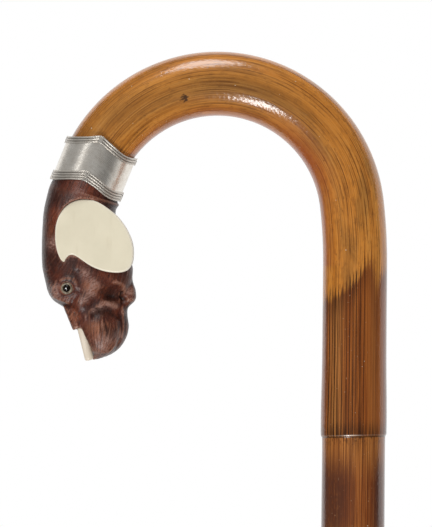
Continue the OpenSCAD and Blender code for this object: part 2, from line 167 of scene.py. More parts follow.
def shade_smooth(mesh):
    mesh.polygons.foreach_set("use_smooth", [True] * len(mesh.polygons))


def mesh_piece(name, points, faces, facts=None):
    """A smooth closed piece from points in millimetres, with named facts at each point."""
    piece = put_in_scene(name, np.asarray(points, float) * MM, faces)
    face_outwards(piece.data)
    piece.data.update()
    for key, values in (facts or {}).items():
        add_fact(piece.data, key, values)
    shade_smooth(piece.data)
    return piece


def settle(piece, node, material):
    """The piece takes the place of a solid node, rides with the cane and wears a finish."""
    piece.data.materials.clear()
    piece.data.materials.append(material)
    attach(piece, "root")
    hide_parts(node)
    print(f"{piece.name}: {len(piece.data.vertices)} points, stands for {node}")


print("pieces are made smooth, right way out, and in metres")

# %% [markdown]
# ## Finishes as short lists
#
# A finish is a small network of nodes. Wiring one by mouse is quick, and wiring ten is slow. The
# helpers below add one node each and join it up, so that a finish reads as a list of what happens to
# its colour. They come in three layers: adding and joining nodes, reading facts and patterns, and
# mixing colours.


# %% Add a node, join a node
class Bench:
    """One material, and the two moves that everything else is made of."""

    def __init__(self, name):
        self.material = bpy.data.materials.new(name)
        self.material.use_nodes = True
        self.tree = self.material.node_tree
        self.shader = self.tree.nodes["Principled BSDF"]

    def node(self, kind, **values):
        made = self.tree.nodes.new(kind)
        for key, value in values.items():
            setattr(made, key, value)
        return made

    def join(self, source, target):
        """Links an output to an input, or sets the input to a plain value."""
        if isinstance(source, bpy.types.NodeSocket):
            self.tree.links.new(source, target)
        elif source is not None:
            target.default_value = source

    def set(self, **values):
        """Sets the shader's own inputs, as in set(Coat_Weight=0.9)."""
        for key, value in values.items():
            self.join(value, self.shader.inputs[key.replace("_", " ")])
        return self.material


print("nodes can be added and joined")

# %% [markdown]
# A pattern is noise stretched along the grain. Its scale says how many times it changes over a
# millimetre, one number for each axis, so a small last number draws long lines down the piece. A
# piece without facts goes by its place in the cane, which is in metres, and there the numbers count
# for a metre.


# %% Read facts and patterns
class PatternBench(Bench):
    """Adds what a finish can look at: the facts of a point, its place, and noise."""

    def fact(self, key):
        return self.node("ShaderNodeAttribute", attribute_name=key).outputs["Fac"]

    def fact_vector(self, key):
        return self.node("ShaderNodeAttribute", attribute_name=key).outputs["Vector"]

    def place(self):
        return self.node("ShaderNodeTexCoord").outputs["Object"]

    def axes(self, vector):
        parts = self.node("ShaderNodeSeparateXYZ")
        self.join(vector, parts.inputs[0])
        return parts.outputs

    def pattern(self, at, scale, shift=(0, 0, 0), detail=3.0, rough=0.5, twist=0.0):
        """Noise round 0.5, stretched by a scale along each axis and moved by a shift."""
        mapping = self.node("ShaderNodeMapping")
        self.join(at, mapping.inputs["Vector"])
        mapping.inputs["Scale"].default_value = scale
        mapping.inputs["Location"].default_value = shift
        noise = self.node("ShaderNodeTexNoise")
        self.join(mapping.outputs["Vector"], noise.inputs["Vector"])
        for key, number in (("Scale", 1.0), ("Detail", detail), ("Roughness", rough), ("Distortion", twist)):
            noise.inputs[key].default_value = number
        return noise.outputs["Fac"]


print("facts and patterns can be read")

# %% [markdown]
# A pattern becomes a mask with span, which turns one range of it into another. A mask then tints a
# colour, as a stain does. Bumps take their height in metres, so a scratch stays as deep as a scratch.


# %% Tint, mix and bump
class Finish(PatternBench):
    """The whole bench: masks, colours and bumps."""

    def calc(self, operation, *values):
        made = self.node("ShaderNodeMath", operation=operation)
        for value, target in zip(values, made.inputs):
            self.join(value, target)
        return made.outputs[0]

    def times(self, first, *others):
        for other in others:
            first = self.calc("MULTIPLY", first, other)
        return first

    def span(self, value, low, high, new_low=0.0, new_high=1.0):
        """A smooth step from new_low to new_high, while the value goes from low to high."""
        made = self.node("ShaderNodeMapRange", interpolation_type="SMOOTHSTEP")
        self.join(value, made.inputs["Value"])
        limits = {"From Min": low, "From Max": high, "To Min": new_low, "To Max": new_high}
        for key, number in limits.items():
            made.inputs[key].default_value = number
        return made.outputs["Result"]

    def tones(self, value, *stops):
        """Colours along a value, each stop given as its place and its screen colour."""
        made = self.node("ShaderNodeValToRGB")
        self.join(value, made.inputs["Fac"])
        band = made.color_ramp.elements
        while len(band) < len(stops):
            band.new(0.5)
        for element, (at, colour) in zip(band, stops):
            element.position, element.color = at, screen(*colour)
        return made.outputs["Color"]

    def mix(self, share, first, second):
        made = self.node("ShaderNodeMix", data_type="RGBA", blend_type="MIX")
        for value, number in ((share, 0), (first, 6), (second, 7)):
            self.join(value, made.inputs[number])
        return made.outputs[2]

    def tint(self, under, colour, share):
        return self.mix(share, under, screen(*colour))

    def tint_where(self, under, *layers):
        """Tints one after another: each by up to a share, where its pattern goes from low to high."""
        for pattern, low, high, share, colour in layers:
            under = self.tint(under, colour, self.span(pattern, low, high, 0, share))
        return under

    def bump(self, height, strength, distance, before=None):
        made = self.node("ShaderNodeBump")
        inputs = {"Height": height, "Strength": strength, "Distance": distance, "Normal": before}
        for key, value in inputs.items():
            self.join(value, made.inputs[key])
        return made.outputs["Normal"]


print("finishes can be mixed")

# %% [markdown]
# ## The stick
#
# The real stick is a length of knotted cane, steamed and bent round a former, and then varnished.
# A cylinder could be bent with a curve modifier. Here the stick is swept ring by ring instead, because
# every point then knows how far along the stick it lies. That number carries the grain round the bend,
# as in real cane.

# %% The stick's line
CANE_H = 910.0
STICK_R, FOOT_R = 12.1, 9.7
CROOK_R, CROOK_END = 50.7, math.radians(158.5)
EASE_R, EASE_ANGLE = 189.0, math.radians(7)
EASE_LEN = EASE_R * EASE_ANGLE
CROOK_Z = CANE_H - CROOK_R - STICK_R
CROOK_X = -EASE_R * (1 - math.cos(EASE_ANGLE)) - CROOK_R * math.cos(EASE_ANGLE)
SHAFT_TOP = CROOK_Z - (EASE_R - CROOK_R) * math.sin(EASE_ANGLE)
STICK_END = SHAFT_TOP + EASE_LEN + CROOK_R * (CROOK_END - EASE_ANGLE)


def stick_line(s):
    """Middle of the stick and its outward direction, at a length s along it from the ground."""
    ease = np.clip((s - SHAFT_TOP) / EASE_R, 0, EASE_ANGLE)
    turn = ease + np.clip((s - SHAFT_TOP - EASE_LEN) / CROOK_R, 0, None)
    bent = s > SHAFT_TOP + EASE_LEN
    x = np.where(bent, CROOK_X + CROOK_R * np.cos(turn), -EASE_R * (1 - np.cos(ease)))
    z = np.where(bent, CROOK_Z + CROOK_R * np.sin(turn),
                 np.where(s > SHAFT_TOP, SHAFT_TOP + EASE_R * np.sin(ease), s))
    middle = np.stack([x, 0 * s, z], -1)
    outward = np.stack([np.cos(turn), 0 * s, np.sin(turn)], -1)
    return middle, outward


print("the bend starts at", round(SHAFT_TOP, 1), "mm and the stick ends at", round(STICK_END, 1), "mm")

# %% [markdown]
# A knot is where a leaf grew: a thin raised ring that lies a little aslant, with a groove under it,
# and the cane a little thicker above it than below. The stick tapers towards its foot. Rings could be
# modelled one by one and joined on. A sum of bells along the stick does it in one formula and leaves
# no seam.

# %% Knots and taper
TIP_SHOW, FERRULE_LEN = 2.0, 32.0
SHOULDER = TIP_SHOW + FERRULE_LEN + 0.1
KNOT_TOP, KNOT_PITCH = CROOK_Z - 81.6, 228.0
KNOTS = [z for z in (KNOT_TOP - k * KNOT_PITCH for k in range(5)) if z > SHOULDER + 12]
RING_LIFT, RING_SLANT, NEAR_R = 1.0, 0.03, 12
SWELL, WAIST, RIDGE, GROOVE = 0.34, 0.2, 0.05, 0.1
UNDER_SOLID = 0.06  # the skin lies this far inside the solid stick


def above_ring(s, z, across):
    """Length from a knot's slanting ring, upwards."""
    return s - z - RING_LIFT - RING_SLANT * (NEAR_R * across)


def stick_radius(s, across):
    taper = np.interp(s, [SHOULDER, KNOT_TOP], [FOOT_R, STICK_R])
    r = taper - UNDER_SOLID
    for z in KNOTS:
        d = above_ring(s, z, across)
        share = step(d, -1.6, 0.7)
        r += share * SWELL * bell((d - 6) / 16) - (1 - share) * WAIST * bell(d / 30)
        r += RIDGE * bell(d / 0.35) - GROOVE * bell((d + 0.62) / 0.35)
    return r


print("knots at", [round(z, 1) for z in KNOTS], "mm")

# %% Rings of the stick, close together at each knot
AROUND, RING_PITCH, KNOT_RING_PITCH = 144, 1.1, 0.18
heights = [np.arange(SHOULDER, STICK_END, RING_PITCH)]
heights += [np.arange(z - 3, z + 3, KNOT_RING_PITCH) for z in KNOTS]
heights = np.unique(np.concatenate(heights + [[STICK_END]]).round(2))
S, T = np.meshgrid(heights, np.arange(AROUND) / AROUND * 2 * math.pi, indexing="ij")
across, depth = np.cos(T), np.sin(T)
radius = stick_radius(S, across)
middle, outward = stick_line(S)
sideways = np.zeros_like(outward)
sideways[..., 1] = 1
stick_points = middle + radius[..., None] * (across[..., None] * outward + depth[..., None] * sideways)
print("rings:", len(heights), "points:", stick_points.size // 3)

# %% [markdown]
# Cane is scorched with a flame above each knot. The dark area ends along a ragged line, which was
# read off the photograph on the front and drawn round the back. The lower knots wear the same line,
# turned round the stick. Each point keeps its distance from that line and from its knot. The shader
# adds the fine streaks, which are thinner than the mesh. The scorching could be painted on a picture,
# but a picture is only as sharp as its pixels, and numbers stay sharp from near by.

# %% Distance from the knot and from the scorch line
SCORCH = [(-180, 54), (-130, 48), (-90, 49), (-52, 50.8), (-40, 51.8), (-26, 52.8), (-12, 54.4),
          (2, 57.8), (11, 61.0), (20, 63.6), (28, 65.2), (34, 62), (42, 57), (56, 59), (80, 62),
          (120, 60), (150, 57), (180, 54)]  # angle from the front, height above the knot
TURN_BY_KNOT = 137.0
above_knot = np.full_like(S, 400.0)
turned = np.zeros_like(S)
for number, z in enumerate(KNOTS):
    d = above_ring(S, z, across)
    near = (d > -60) & (d < 140)
    above_knot = np.where(near, d, above_knot)
    turned = np.where(near, TURN_BY_KNOT * number, turned)
angle = (np.degrees(np.arctan2(across, -depth)) + turned + 180) % 360 - 180
to_scorch = above_knot - np.interp(angle, *zip(*SCORCH))
print("scorch line from", min(h for _, h in SCORCH), "to", max(h for _, h in SCORCH), "mm above a knot")

# %% [markdown]
# Round the stick the scorching differs: lined and nearly black in one place, golden in another, with
# a sharp or a soft end. Below the knot there are dusky stripes and one that glows like an ember. A
# stripe is given by its angle from the front and its half width. Noise could place the stripes, but
# none would then lie where the real one does.


# %% Stripes down the stick
def stripe(middle_at, half_width):
    """1 on a stripe down the stick, 0 beside it."""
    return bell(((angle - middle_at + 180) % 360 - 180) / half_width)


dusk = np.clip(1.3 * stripe(-47, 37), 0, 1) + np.clip(1.2 * stripe(52, 13), 0, 1)
stick_facts = {
    "lined": np.clip(stripe(-40, 32) + 0.75 * stripe(6, 15) + stripe(120, 50) + stripe(-140, 30), 0, 1),
    "golden": np.clip(1.05 * stripe(-36, 14) + 0.35 * stripe(36, 9) + 0.6 * stripe(130, 40), 0, 1),
    "sharp": 1 - 0.85 * np.clip(stripe(40, 18) + stripe(-150, 30), 0, 1),
    "ring_highlight_share": stripe(-6, 13),
    "dusk": dusk + 0.6 * stripe(85, 12) + stripe(140, 30) + stripe(-110, 25),
    "ember": stripe(10, 9) + 0.6 * stripe(170, 20)}
print("stripes:", ", ".join(stick_facts))

# %% [markdown]
# The bend has marks of its own: a reddish blush inside it, where the steamed cane was pressed, a dim
# olive band along its side, painted shade next to the collar, and one small scar where a twig was cut
# off. Each is a bell round its place on the bend, so it fades out on all sides.

# %% Marks of the bend
SCAR_ANGLE, SCAR_ACROSS, SCAR_R = 105.8, -0.31, 1.5
bend_angle = np.degrees(np.clip((S - SHAFT_TOP - EASE_LEN) / CROOK_R + EASE_ANGLE, 0, 4))
in_bend, in_front = S > SHAFT_TOP, depth < 0
blush = bell((bend_angle - 34) / 26) * step(-across, 0.1, 0.9) * in_bend
pressed = 0.7 * step(-across, 0.55, 1.0) * in_bend
dim = bell((bend_angle - 80) / 38) + 0.3 * bell((bend_angle - 128) / 20)
dim = dim * bell((across + 0.1) / 0.5) * in_front
dim = dim + 0.6 * bell((bend_angle - 137) / 15) * bell((across - 0.4) / 0.45) * in_front
along_scar = (bend_angle - SCAR_ANGLE) * CROOK_R * math.pi / 180 * 0.8
from_scar = np.hypot(along_scar, (across - SCAR_ACROSS) * STICK_R)
stick_facts.update({
    "grain_at": np.stack([radius * across, radius * depth, S], -1),
    "above_knot": above_knot, "to_scorch": to_scorch,
    "blush": np.maximum(blush, pressed), "dim": np.clip(dim, 0, 1),
    # painted shade on the stick next to the collar
    "shade_by_collar": bell((STICK_END - S) / 9) * step(across, 0.1, 0.75),
    "scar": bell(from_scar / SCAR_R) * in_front})
flat_facts = {key: v.reshape(-1, 3) if v.ndim == 3 else v.ravel() for key, v in stick_facts.items()}
stick = mesh_piece("cane_stick", stick_points.reshape(-1, 3), tube_faces(len(heights), AROUND), flat_facts)
print("stick made, with", len(flat_facts), "facts at each point")

# %% [markdown]
# ## Varnished cane
#
# Cane is honey brown, with fine dark lines where its vessels run. Noise stretched along the grain gives
# soft fibres at several widths. The vessels themselves are waves counted round the stick, each pushed
# a little to and fro by slow noise, because plain noise never makes lines that run on for so long.

# %% Fibres and vessels
VESSELS, THREADS = 53, 97
cane = Finish("varnished_cane")
grain_at = cane.fact_vector("grain_at")


def vessel_lines(count, wander, low, high):
    """Thin lines down the stick, count of them round it."""
    parts = cane.axes(grain_at)
    turn = cane.calc("ARCTAN2", parts["Y"], parts["X"])
    phase = cane.calc("ADD", cane.times(turn, float(count)), wander)
    return cane.span(cane.calc("SINE", phase), low, high)


fine = cane.pattern(grain_at, (1.9, 1.9, 0.03), rough=0.6)
wide = cane.pattern(grain_at, (0.3, 0.3, 0.012), (2, 9, 4), 2)
drift = cane.times(cane.pattern(grain_at, (0.16, 0.16, 0.006), (7, 3, 0), 2), 13.0)
sway = cane.times(cane.pattern(grain_at, (0.2, 0.2, 0.01), (3, 5, 0), 2), 17.0)
bold = cane.span(cane.pattern(grain_at, (0.7, 0.7, 0.01), (4, 1, 6), 2), 0.36, 0.56, 0.5, 1.0)
vessels = cane.times(vessel_lines(VESSELS, drift, 0.3, 0.8), bold)
threads = vessel_lines(THREADS, sway, 0.3, 0.9)
print("round the stick:", VESSELS, "vessels and", THREADS, "thin threads")

# %% [markdown]
# The bare cane is built up as a stainer would: a ground in three tones, then mottling, cloudy
# patches, fibres, and last the vessels, which break up here and there. A picture of cane would give
# all this at once, but it would repeat, and it would bring its own light along.

# %% Honey-coloured cane
mottle = cane.pattern(grain_at, (0.55, 0.55, 0.3), (6, 4, 9), 4, 0.65)
patches = cane.pattern(grain_at, (0.12, 0.12, 0.04), (5, 1, 2), 3, 0.55)
dashes = cane.pattern(grain_at, (2.6, 2.6, 0.14), (5, 2, 7), 3, 0.6)
flecks = cane.pattern(grain_at, (1.6, 1.6, 0.5), (1, 1, 8), 2)
honey = cane.tones(wide, (0.3, (192, 118, 36)), (0.5, (208, 132, 46)), (0.7, (220, 147, 60)))
honey = cane.tint_where(
    honey,
    (mottle, 0.5, 0.66, 0.4, (138, 84, 34)),
    (mottle, 0.48, 0.34, 0.3, (206, 140, 66)),
    (patches, 0.5, 0.68, 0.5, (132, 92, 42)),
    (patches, 0.45, 0.3, 0.4, (204, 132, 50)))
honey = cane.tint(honey, (136, 92, 42), cane.times(cane.fact("dim"), 0.85))
honey = cane.tint_where(
    honey,
    (fine, 0.5, 0.66, 0.36, (118, 68, 26)),
    (fine, 0.48, 0.34, 0.3, (212, 152, 76)),
    (dashes, 0.52, 0.66, 0.12, (112, 66, 26)))
broken = cane.span(cane.pattern(grain_at, (0.5, 0.5, 0.06), (8, 8, 1), 3, 0.6), 0.42, 0.6)
honey = cane.tint(honey, (92, 50, 14), cane.times(vessels, broken, 0.6))
honey = cane.tint(honey, (110, 62, 18), cane.times(threads, broken, 0.45))
honey = cane.tint_where(honey, (flecks, 0.66, 0.74, 0.5, (80, 48, 20)))
honey = cane.tint(honey, (150, 68, 36), cane.times(cane.fact("blush"), 0.75))
# painted shade on the stick next to the collar
honey = cane.tint(honey, (64, 38, 18), cane.times(cane.fact("shade_by_collar"), 0.75))
print("bare cane ready")

# %% [markdown]
# Scorching follows the vessels, because they dry out and catch first. So the scorch line is lifted
# along each fibre and vessel, which makes its ragged teeth. The vessels are burnt darkest next to the
# line and at the knot. A plain mask of the dark area would look cut out with scissors.

# %% Scorched cane above each knot
above = cane.fact("above_knot")
lined = cane.fact("lined")
teeth = cane.times(cane.calc("SUBTRACT", fine, 0.5), 9.0)
teeth = cane.calc("ADD", teeth, cane.times(vessels, 4.5))
edge = cane.times(cane.calc("SUBTRACT", cane.fact("to_scorch"), teeth), cane.fact("sharp"))
scorched = cane.times(cane.span(edge, 1.6, -1.6), cane.span(above, -0.6, -0.2))
burnt = cane.calc("MAXIMUM", cane.span(edge, -26.0, -1.0), cane.span(above, 14.0, 1.0))
burnt = cane.calc("MAXIMUM", burnt, 0.75)
toast = cane.tones(wide, (0.34, (132, 66, 16)), (0.5, (148, 76, 21)), (0.66, (160, 88, 27)))
toast = cane.tint(toast, (180, 116, 56), cane.fact("golden"))
toast = cane.tint_where(toast, (edge, -10.0, -0.5, 0.35, (92, 42, 16)))
dark_fine = cane.times(cane.span(fine, 0.44, 0.6), cane.calc("MAXIMUM", lined, 0.35))
toast = cane.tint(toast, (84, 40, 14), cane.times(dark_fine, 0.7))
black_lines = cane.times(vessels, burnt, cane.calc("MAXIMUM", lined, 0.16))
black_lines = cane.calc("MINIMUM", cane.times(black_lines, 1.5), 0.98)
toast = cane.tint(toast, (34, 15, 7), black_lines)
brown_lines = cane.times(threads, burnt, cane.calc("MAXIMUM", lined, 0.2))
toast = cane.tint(toast, (46, 22, 9), cane.times(brown_lines, 0.85))
fringe = cane.times(cane.span(above, 7.0, 0.3), cane.span(fine, 0.42, 0.55, 0.25, 1.0))
toast = cane.tint(toast, (42, 20, 10), cane.times(fringe, 0.7))
stick_colour = cane.mix(cane.times(scorched, 0.96), honey, toast)
print("scorched cane ready")

# %% [markdown]
# Just below a knot the cane is tawny. Further down it turns redder and dusky, in stripes, and fades
# back to honey. Darker honey would look dirty there and not warm, so it has colours of its own, mixed
# in by the distance below the knot.

# %% Tawny cane below each knot
below = cane.times(cane.span(above, -0.2, -0.8), cane.span(above, -60.0, -30.0))
tawny = cane.tones(wide, (0.34, (156, 90, 36)), (0.5, (170, 103, 42)), (0.66, (182, 114, 50)))
lower = cane.tones(wide, (0.34, (118, 56, 18)), (0.5, (130, 64, 20)), (0.66, (142, 74, 24)))
lower = cane.tint(lower, (164, 92, 36), cane.fact("ember"))
tawny = cane.mix(cane.span(above, -4.0, -20.0), tawny, lower)
tawny = cane.tint_where(tawny, (fine, 0.48, 0.6, 0.65, (92, 46, 18)))
tawny = cane.tint(tawny, (74, 36, 14), cane.times(threads, 0.55))
tawny = cane.tint_where(tawny, (fine, 0.46, 0.34, 0.4, (190, 124, 62)))
dusky = cane.times(cane.fact("dusk"), cane.span(above, -1.0, -19.0))
dusky = cane.times(dusky, cane.span(flecks, 0.3, 0.55, 0.7, 1.0))
tawny = cane.tint(tawny, (80, 44, 30), cane.times(dusky, 0.85))
specks = cane.times(cane.span(above, -5.0, -0.6), cane.span(flecks, 0.5, 0.6))
tawny = cane.tint(tawny, (62, 34, 16), cane.times(specks, 0.6))
stick_colour = cane.mix(below, stick_colour, tawny)
print("tawny cane ready")

# %% [markdown]
# Small things tell that the stick is old: the scar, a few pale dots, and dust in the dark parts. A
# painted shade darkens the groove under the ring, and a painted highlight lies along the ring's top,
# brightest at the front. None of them needs a mesh: each is a thin band beside the ring, a round spot,
# or the peaks of a noise.

# %% Ring, scar and dust
# painted shade in the groove under the ring
groove_shade = cane.times(cane.span(above, -0.95, -0.65), cane.span(above, -0.25, -0.45))
stick_colour = cane.tint(stick_colour, (40, 22, 12), cane.times(groove_shade, 0.75))
# painted highlight on the ring's top, strongest at the front
ring_top = cane.times(cane.span(above, -0.25, -0.05), cane.span(above, 0.35, 0.12))
ring_highlight = cane.calc("MULTIPLY_ADD", cane.fact("ring_highlight_share"), 0.66, 0.08)
stick_colour = cane.tint(stick_colour, (232, 214, 196), cane.times(ring_top, ring_highlight))
torn = cane.times(cane.calc("SUBTRACT", flecks, 0.5), 1.8)
torn = cane.span(cane.calc("ADD", cane.fact("scar"), torn), 0.4, 0.7)
stick_colour = cane.tint(stick_colour, (48, 28, 18), cane.times(torn, 0.85))
dots = cane.pattern(grain_at, (0.9, 0.9, 0.9), (3, 8, 1), 1, 0.4)
stick_colour = cane.tint_where(stick_colour, (dots, 0.8, 0.82, 0.7, (222, 204, 176)))
dust = cane.span(cane.pattern(grain_at, (1.2, 1.2, 0.7), (2, 7, 7), 2), 0.69, 0.77, 0, 0.45)
dust = cane.times(dust, cane.calc("MAXIMUM", below, scorched))
stick_colour = cane.tint(stick_colour, (186, 146, 108), dust)
print("stick's colour ready")

# %% [markdown]
# The varnish is the shader's coat, a clear layer over the cane. A coat is perfectly smooth unless it
# has a normal of its own. Hand-laid varnish has shallow pits and follows the fibres a little, so it
# gets its own fine bump, which breaks up the edge of every highlight.

# %% Varnish
cane_bumps = cane.bump(fine, 0.4, 0.0001)
waves = cane.pattern(grain_at, (0.9, 0.9, 0.4), detail=4, rough=0.65)
cane_bumps = cane.bump(waves, 0.5, 0.00035, cane_bumps)
varnish_pits = cane.pattern(grain_at, (1.2, 1.2, 0.8), (2, 5, 3), 1.0, 0.4)
varnish_skin = cane.bump(fine, 0.15, 0.00005)
varnish_skin = cane.bump(varnish_pits, 0.8, 0.00009, varnish_skin)
cane_finish = cane.set(
    Base_Color=stick_colour, Roughness=cane.span(wide, 0.3, 0.7, 0.44, 0.56), Normal=cane_bumps,
    Coat_Weight=0.9, Coat_Roughness=0.18, Coat_IOR=1.62, Coat_Normal=varnish_skin,
    Specular_IOR_Level=0.15)
settle(stick, "cane", cane_finish)

# %% [markdown]
# ## The head's own frame
#
# Collar and head hang from the crook's end, tilted with it. They are drawn in a frame of their own: u
# runs across from the forehead to the throat, v up along the stick, and y through the head. One
# function turns such a point into the cane's frame. An empty could carry the tilt instead. Turned
# points are simpler, because every piece then lies in the cane's frame, as the solids do.

# %% From the head's frame to the cane's
TILT = math.pi - CROOK_END
COLLAR_SHIFT = 0.65
ACROSS = np.array([math.cos(TILT), 0, -math.sin(TILT)])
THROUGH = np.array([0, 1, 0])
UPWARD = np.array([math.sin(TILT), 0, math.cos(TILT)])
COLLAR_AT = np.array([CROOK_X + CROOK_R * math.cos(CROOK_END), 0, CROOK_Z + CROOK_R * math.sin(CROOK_END)])
COLLAR_AT = COLLAR_AT + COLLAR_SHIFT * ACROSS


def from_head(points):
    """Points [u, y, v] of the head's frame, in the cane's frame."""
    p = np.asarray(points, float)
    return COLLAR_AT + p[..., 0:1] * ACROSS + p[..., 1:2] * THROUGH + p[..., 2:3] * UPWARD


def piece_from_rings(name, rings, facts=None, caps=True):
    """A piece from rings of points in the head's frame."""
    return mesh_piece(name, from_head(rings.reshape(-1, 3)), tube_faces(*rings.shape[:2], caps), facts)


print("head hangs from", COLLAR_AT.round(1), "mm, tilted", round(math.degrees(TILT), 1), "degrees")


# %% A smooth line through points
def smooth_line(points, n, closed=False):
    """Smooth curve through points, with n steps between two of them."""
    p = np.asarray(points, float)
    count = len(p)
    out = []
    for i in range(count if closed else count - 1):
        if closed:
            a, b, c, d = (p[(i + k) % count] for k in (-1, 0, 1, 2))
        else:
            a, b, c, d = p[max(i - 1, 0)], p[i], p[i + 1], p[min(i + 2, count - 1)]
        for j in range(n):
            t = j / n
            out.append(0.5 * (2 * b + (c - a) * t + (2 * a - 5 * b + 4 * c - d) * t ** 2
                              + (3 * b - a - 3 * c + d) * t ** 3))
    return np.array(out if closed else out + [p[-1]])


def joined(parts):
    """Several lots of points and faces as one."""
    points, faces = [], []
    for part_points, part_faces in parts:
        start = sum(len(p) for p in points)
        points.append(part_points)
        faces += [tuple(start + i for i in f) for f in part_faces]
    return np.concatenate(points), faces


print("a line through 3 points has", len(smooth_line([[0, 0], [1, 1], [2, 0]], 8)), "points")

# %% [markdown]
# ## The silver collar
#
# A silversmith rolls the band from sheet, solders reeded wire round both edges and ties crossed
# ribbons over it. Both edges wave. The band and the reeds are swept round the collar's axis, with the
# wave added to their height, so the reeds stay round and follow the edge exactly. An array along a
# curve could make the reeds too, but its two ends would have to be matched by hand.

# %% The collar's sizes and its wave
BORE_R = STICK_R + 0.8
SLEEVE_R = BORE_R + 0.45
COLLAR_LEN = 17.3
HALF_LEN = COLLAR_LEN / 2
REED_W, REED_GAP, REED_T, STRIP_T = 0.7, 0.28, 0.25, 0.1
SOLDER = 0.025
STRIP_R = SLEEVE_R + SOLDER + STRIP_T
UPPER_W = 3 * REED_W + 2 * REED_GAP
LOWER_W = 4 * REED_W + 3 * REED_GAP
PEAK_AT, PEAK_LIFT = -0.1, 0.65
WAVE = [[-1.15, -1.1], [-1, -0.9], [-0.75, 0.2], [-0.45, 1.8], [-0.15, 3.1], [0.08, 2.7],
        [0.3, 2.0], [0.55, 0.8], [0.72, 0.35], [0.88, 0.5], [1, 0.95], [1.15, 1.2]]
WAVE_LINE = smooth_line(WAVE, 8)


def wave(share, h):
    """Lift of an edge, at a share of the way across the collar and a height in it."""
    lift = PEAK_LIFT * bell((share - PEAK_AT) / 0.25) * (h / COLLAR_LEN + 0.5)
    return np.interp(share, WAVE_LINE[:, 0], WAVE_LINE[:, 1]) + lift


print("collar bore", BORE_R, "mm, sleeve", SLEEVE_R, "mm")


# %% Band and reeds
def collar_piece(name, profile, around=288):
    """A closed profile of [radius, height] points, swept round the collar and waved."""
    profile = np.asarray(profile, float)
    n = len(profile)
    a, k = np.meshgrid(np.arange(around) / around * 2 * math.pi, np.arange(n), indexing="ij")
    r, h = profile[k, 0], profile[k, 1]
    points = np.stack([r * np.cos(a), r * np.sin(a), h + wave(np.cos(a), h)], -1)
    faces = []
    for i in range(around):
        here, ahead = i * n, (i + 1) % around * n
        faces += [(here + j, here + (j + 1) % n, ahead + (j + 1) % n, ahead + j) for j in range(n)]
    round_it = np.stack([a * SLEEVE_R, r, h], -1).reshape(-1, 3)
    return mesh_piece(name, from_head(points.reshape(-1, 3)), faces, {"around": round_it})


def reed_profile(low, reeds):
    """Strip with half-round reeds on it."""
    width = reeds * REED_W + (reeds - 1) * REED_GAP
    line = [[SLEEVE_R + SOLDER, low + width], [SLEEVE_R + SOLDER, low]]
    for i in range(reeds):
        at = low + i * (REED_W + REED_GAP) + REED_W / 2
        for t in np.linspace(-90, 90, 9):
            round_r = STRIP_R + REED_T * math.cos(math.radians(t))
            line.append([round_r, at + REED_W / 2 * math.sin(math.radians(t))])
    return line


band_profile = [[BORE_R, HALF_LEN - 0.1], [BORE_R, -HALF_LEN + 0.1], [BORE_R + 0.1, -HALF_LEN],
                [SLEEVE_R - 0.1, -HALF_LEN]]
band_profile += [[SLEEVE_R, h] for h in np.linspace(-HALF_LEN + 0.12, HALF_LEN - 0.12, 24)]
band_profile += [[SLEEVE_R - 0.1, HALF_LEN], [BORE_R + 0.1, HALF_LEN]]
band = collar_piece("silver_band", band_profile)
upper_reeds = collar_piece("silver_reeds_upper", reed_profile(HALF_LEN - UPPER_W, 3))
lower_reeds = collar_piece("silver_reeds_lower", reed_profile(-HALF_LEN, 4))
print("band and reeds made")

# %% [markdown]
# Each tie is two short ribbons laid across each other over a border. One passes over the other, so it
# is lifted a little in its middle. The ties sit where the wave peaks on both flanks, and over the
# forehead and the throat. A ribbon could be a curve with a flat bevel. As rows of points it follows
# both the collar's round and its wave.

# %% Ribbons
RIBBON_ROWS, RIBBON_COLS = 24, 7
RIBBON_HALF_W, RIBBON_RISE = 0.36, 0.12


def ribbon(at_angle, middle_h, length, lean, lift):
    """One ribbon laid over a border, as a domed strip that follows the collar's round."""
    strip = np.linspace(-1, 1, RIBBON_COLS) * RIBBON_HALF_W
    points = []
    for d in np.linspace(-1, 1, RIBBON_ROWS) * length / 2:
        top_r = STRIP_R + REED_T + 0.03 + lift * (1 - (d / (length / 2)) ** 4)
        domed = [top_r + RIBBON_RISE * math.sqrt(max(0, 1 - (w / 0.4) ** 2)) for w in strip]
        under = [STRIP_R + REED_T - 0.05] * RIBBON_COLS
        for w, r in zip([*strip, *strip[::-1]], domed + under):
            h = middle_h + (d * math.cos(lean) - w * math.sin(lean))
            a = at_angle + (d * math.sin(lean) + w * math.cos(lean)) / SLEEVE_R
            points.append([r * math.cos(a), r * math.sin(a), h + wave(math.cos(a), h)])
    return np.array(points), tube_faces(RIBBON_ROWS, 2 * RIBBON_COLS)


peak_angle = math.acos(PEAK_AT)
ribbons = []
for middle_h, width in ((HALF_LEN - UPPER_W / 2, UPPER_W), (-HALF_LEN + LOWER_W / 2, LOWER_W)):
    for at_angle in (peak_angle, -peak_angle, 0.0, math.pi):
        for lean, lift in ((0.5, 0.0), (-0.5, 0.09)):
            ribbons.append(ribbon(at_angle, middle_h, width * 1.12, lean, lift))
ribbon_points, ribbon_faces = joined(ribbons)
ties = mesh_piece("silver_ribbons", from_head(ribbon_points), ribbon_faces, {"around": ribbon_points})
print("ribbons:", len(ribbons))

# %% [markdown]
# Old silver is polished by hand and dulled by it: fine scratches run round the band, and a little
# tarnish stays in the hollows between the reeds. The scratches are noise stretched round the band,
# used for the roughness and a faint bump. The tarnish follows the height above the strip. A picture
# of scratches would need a seam somewhere round the band, and noise doesn't.

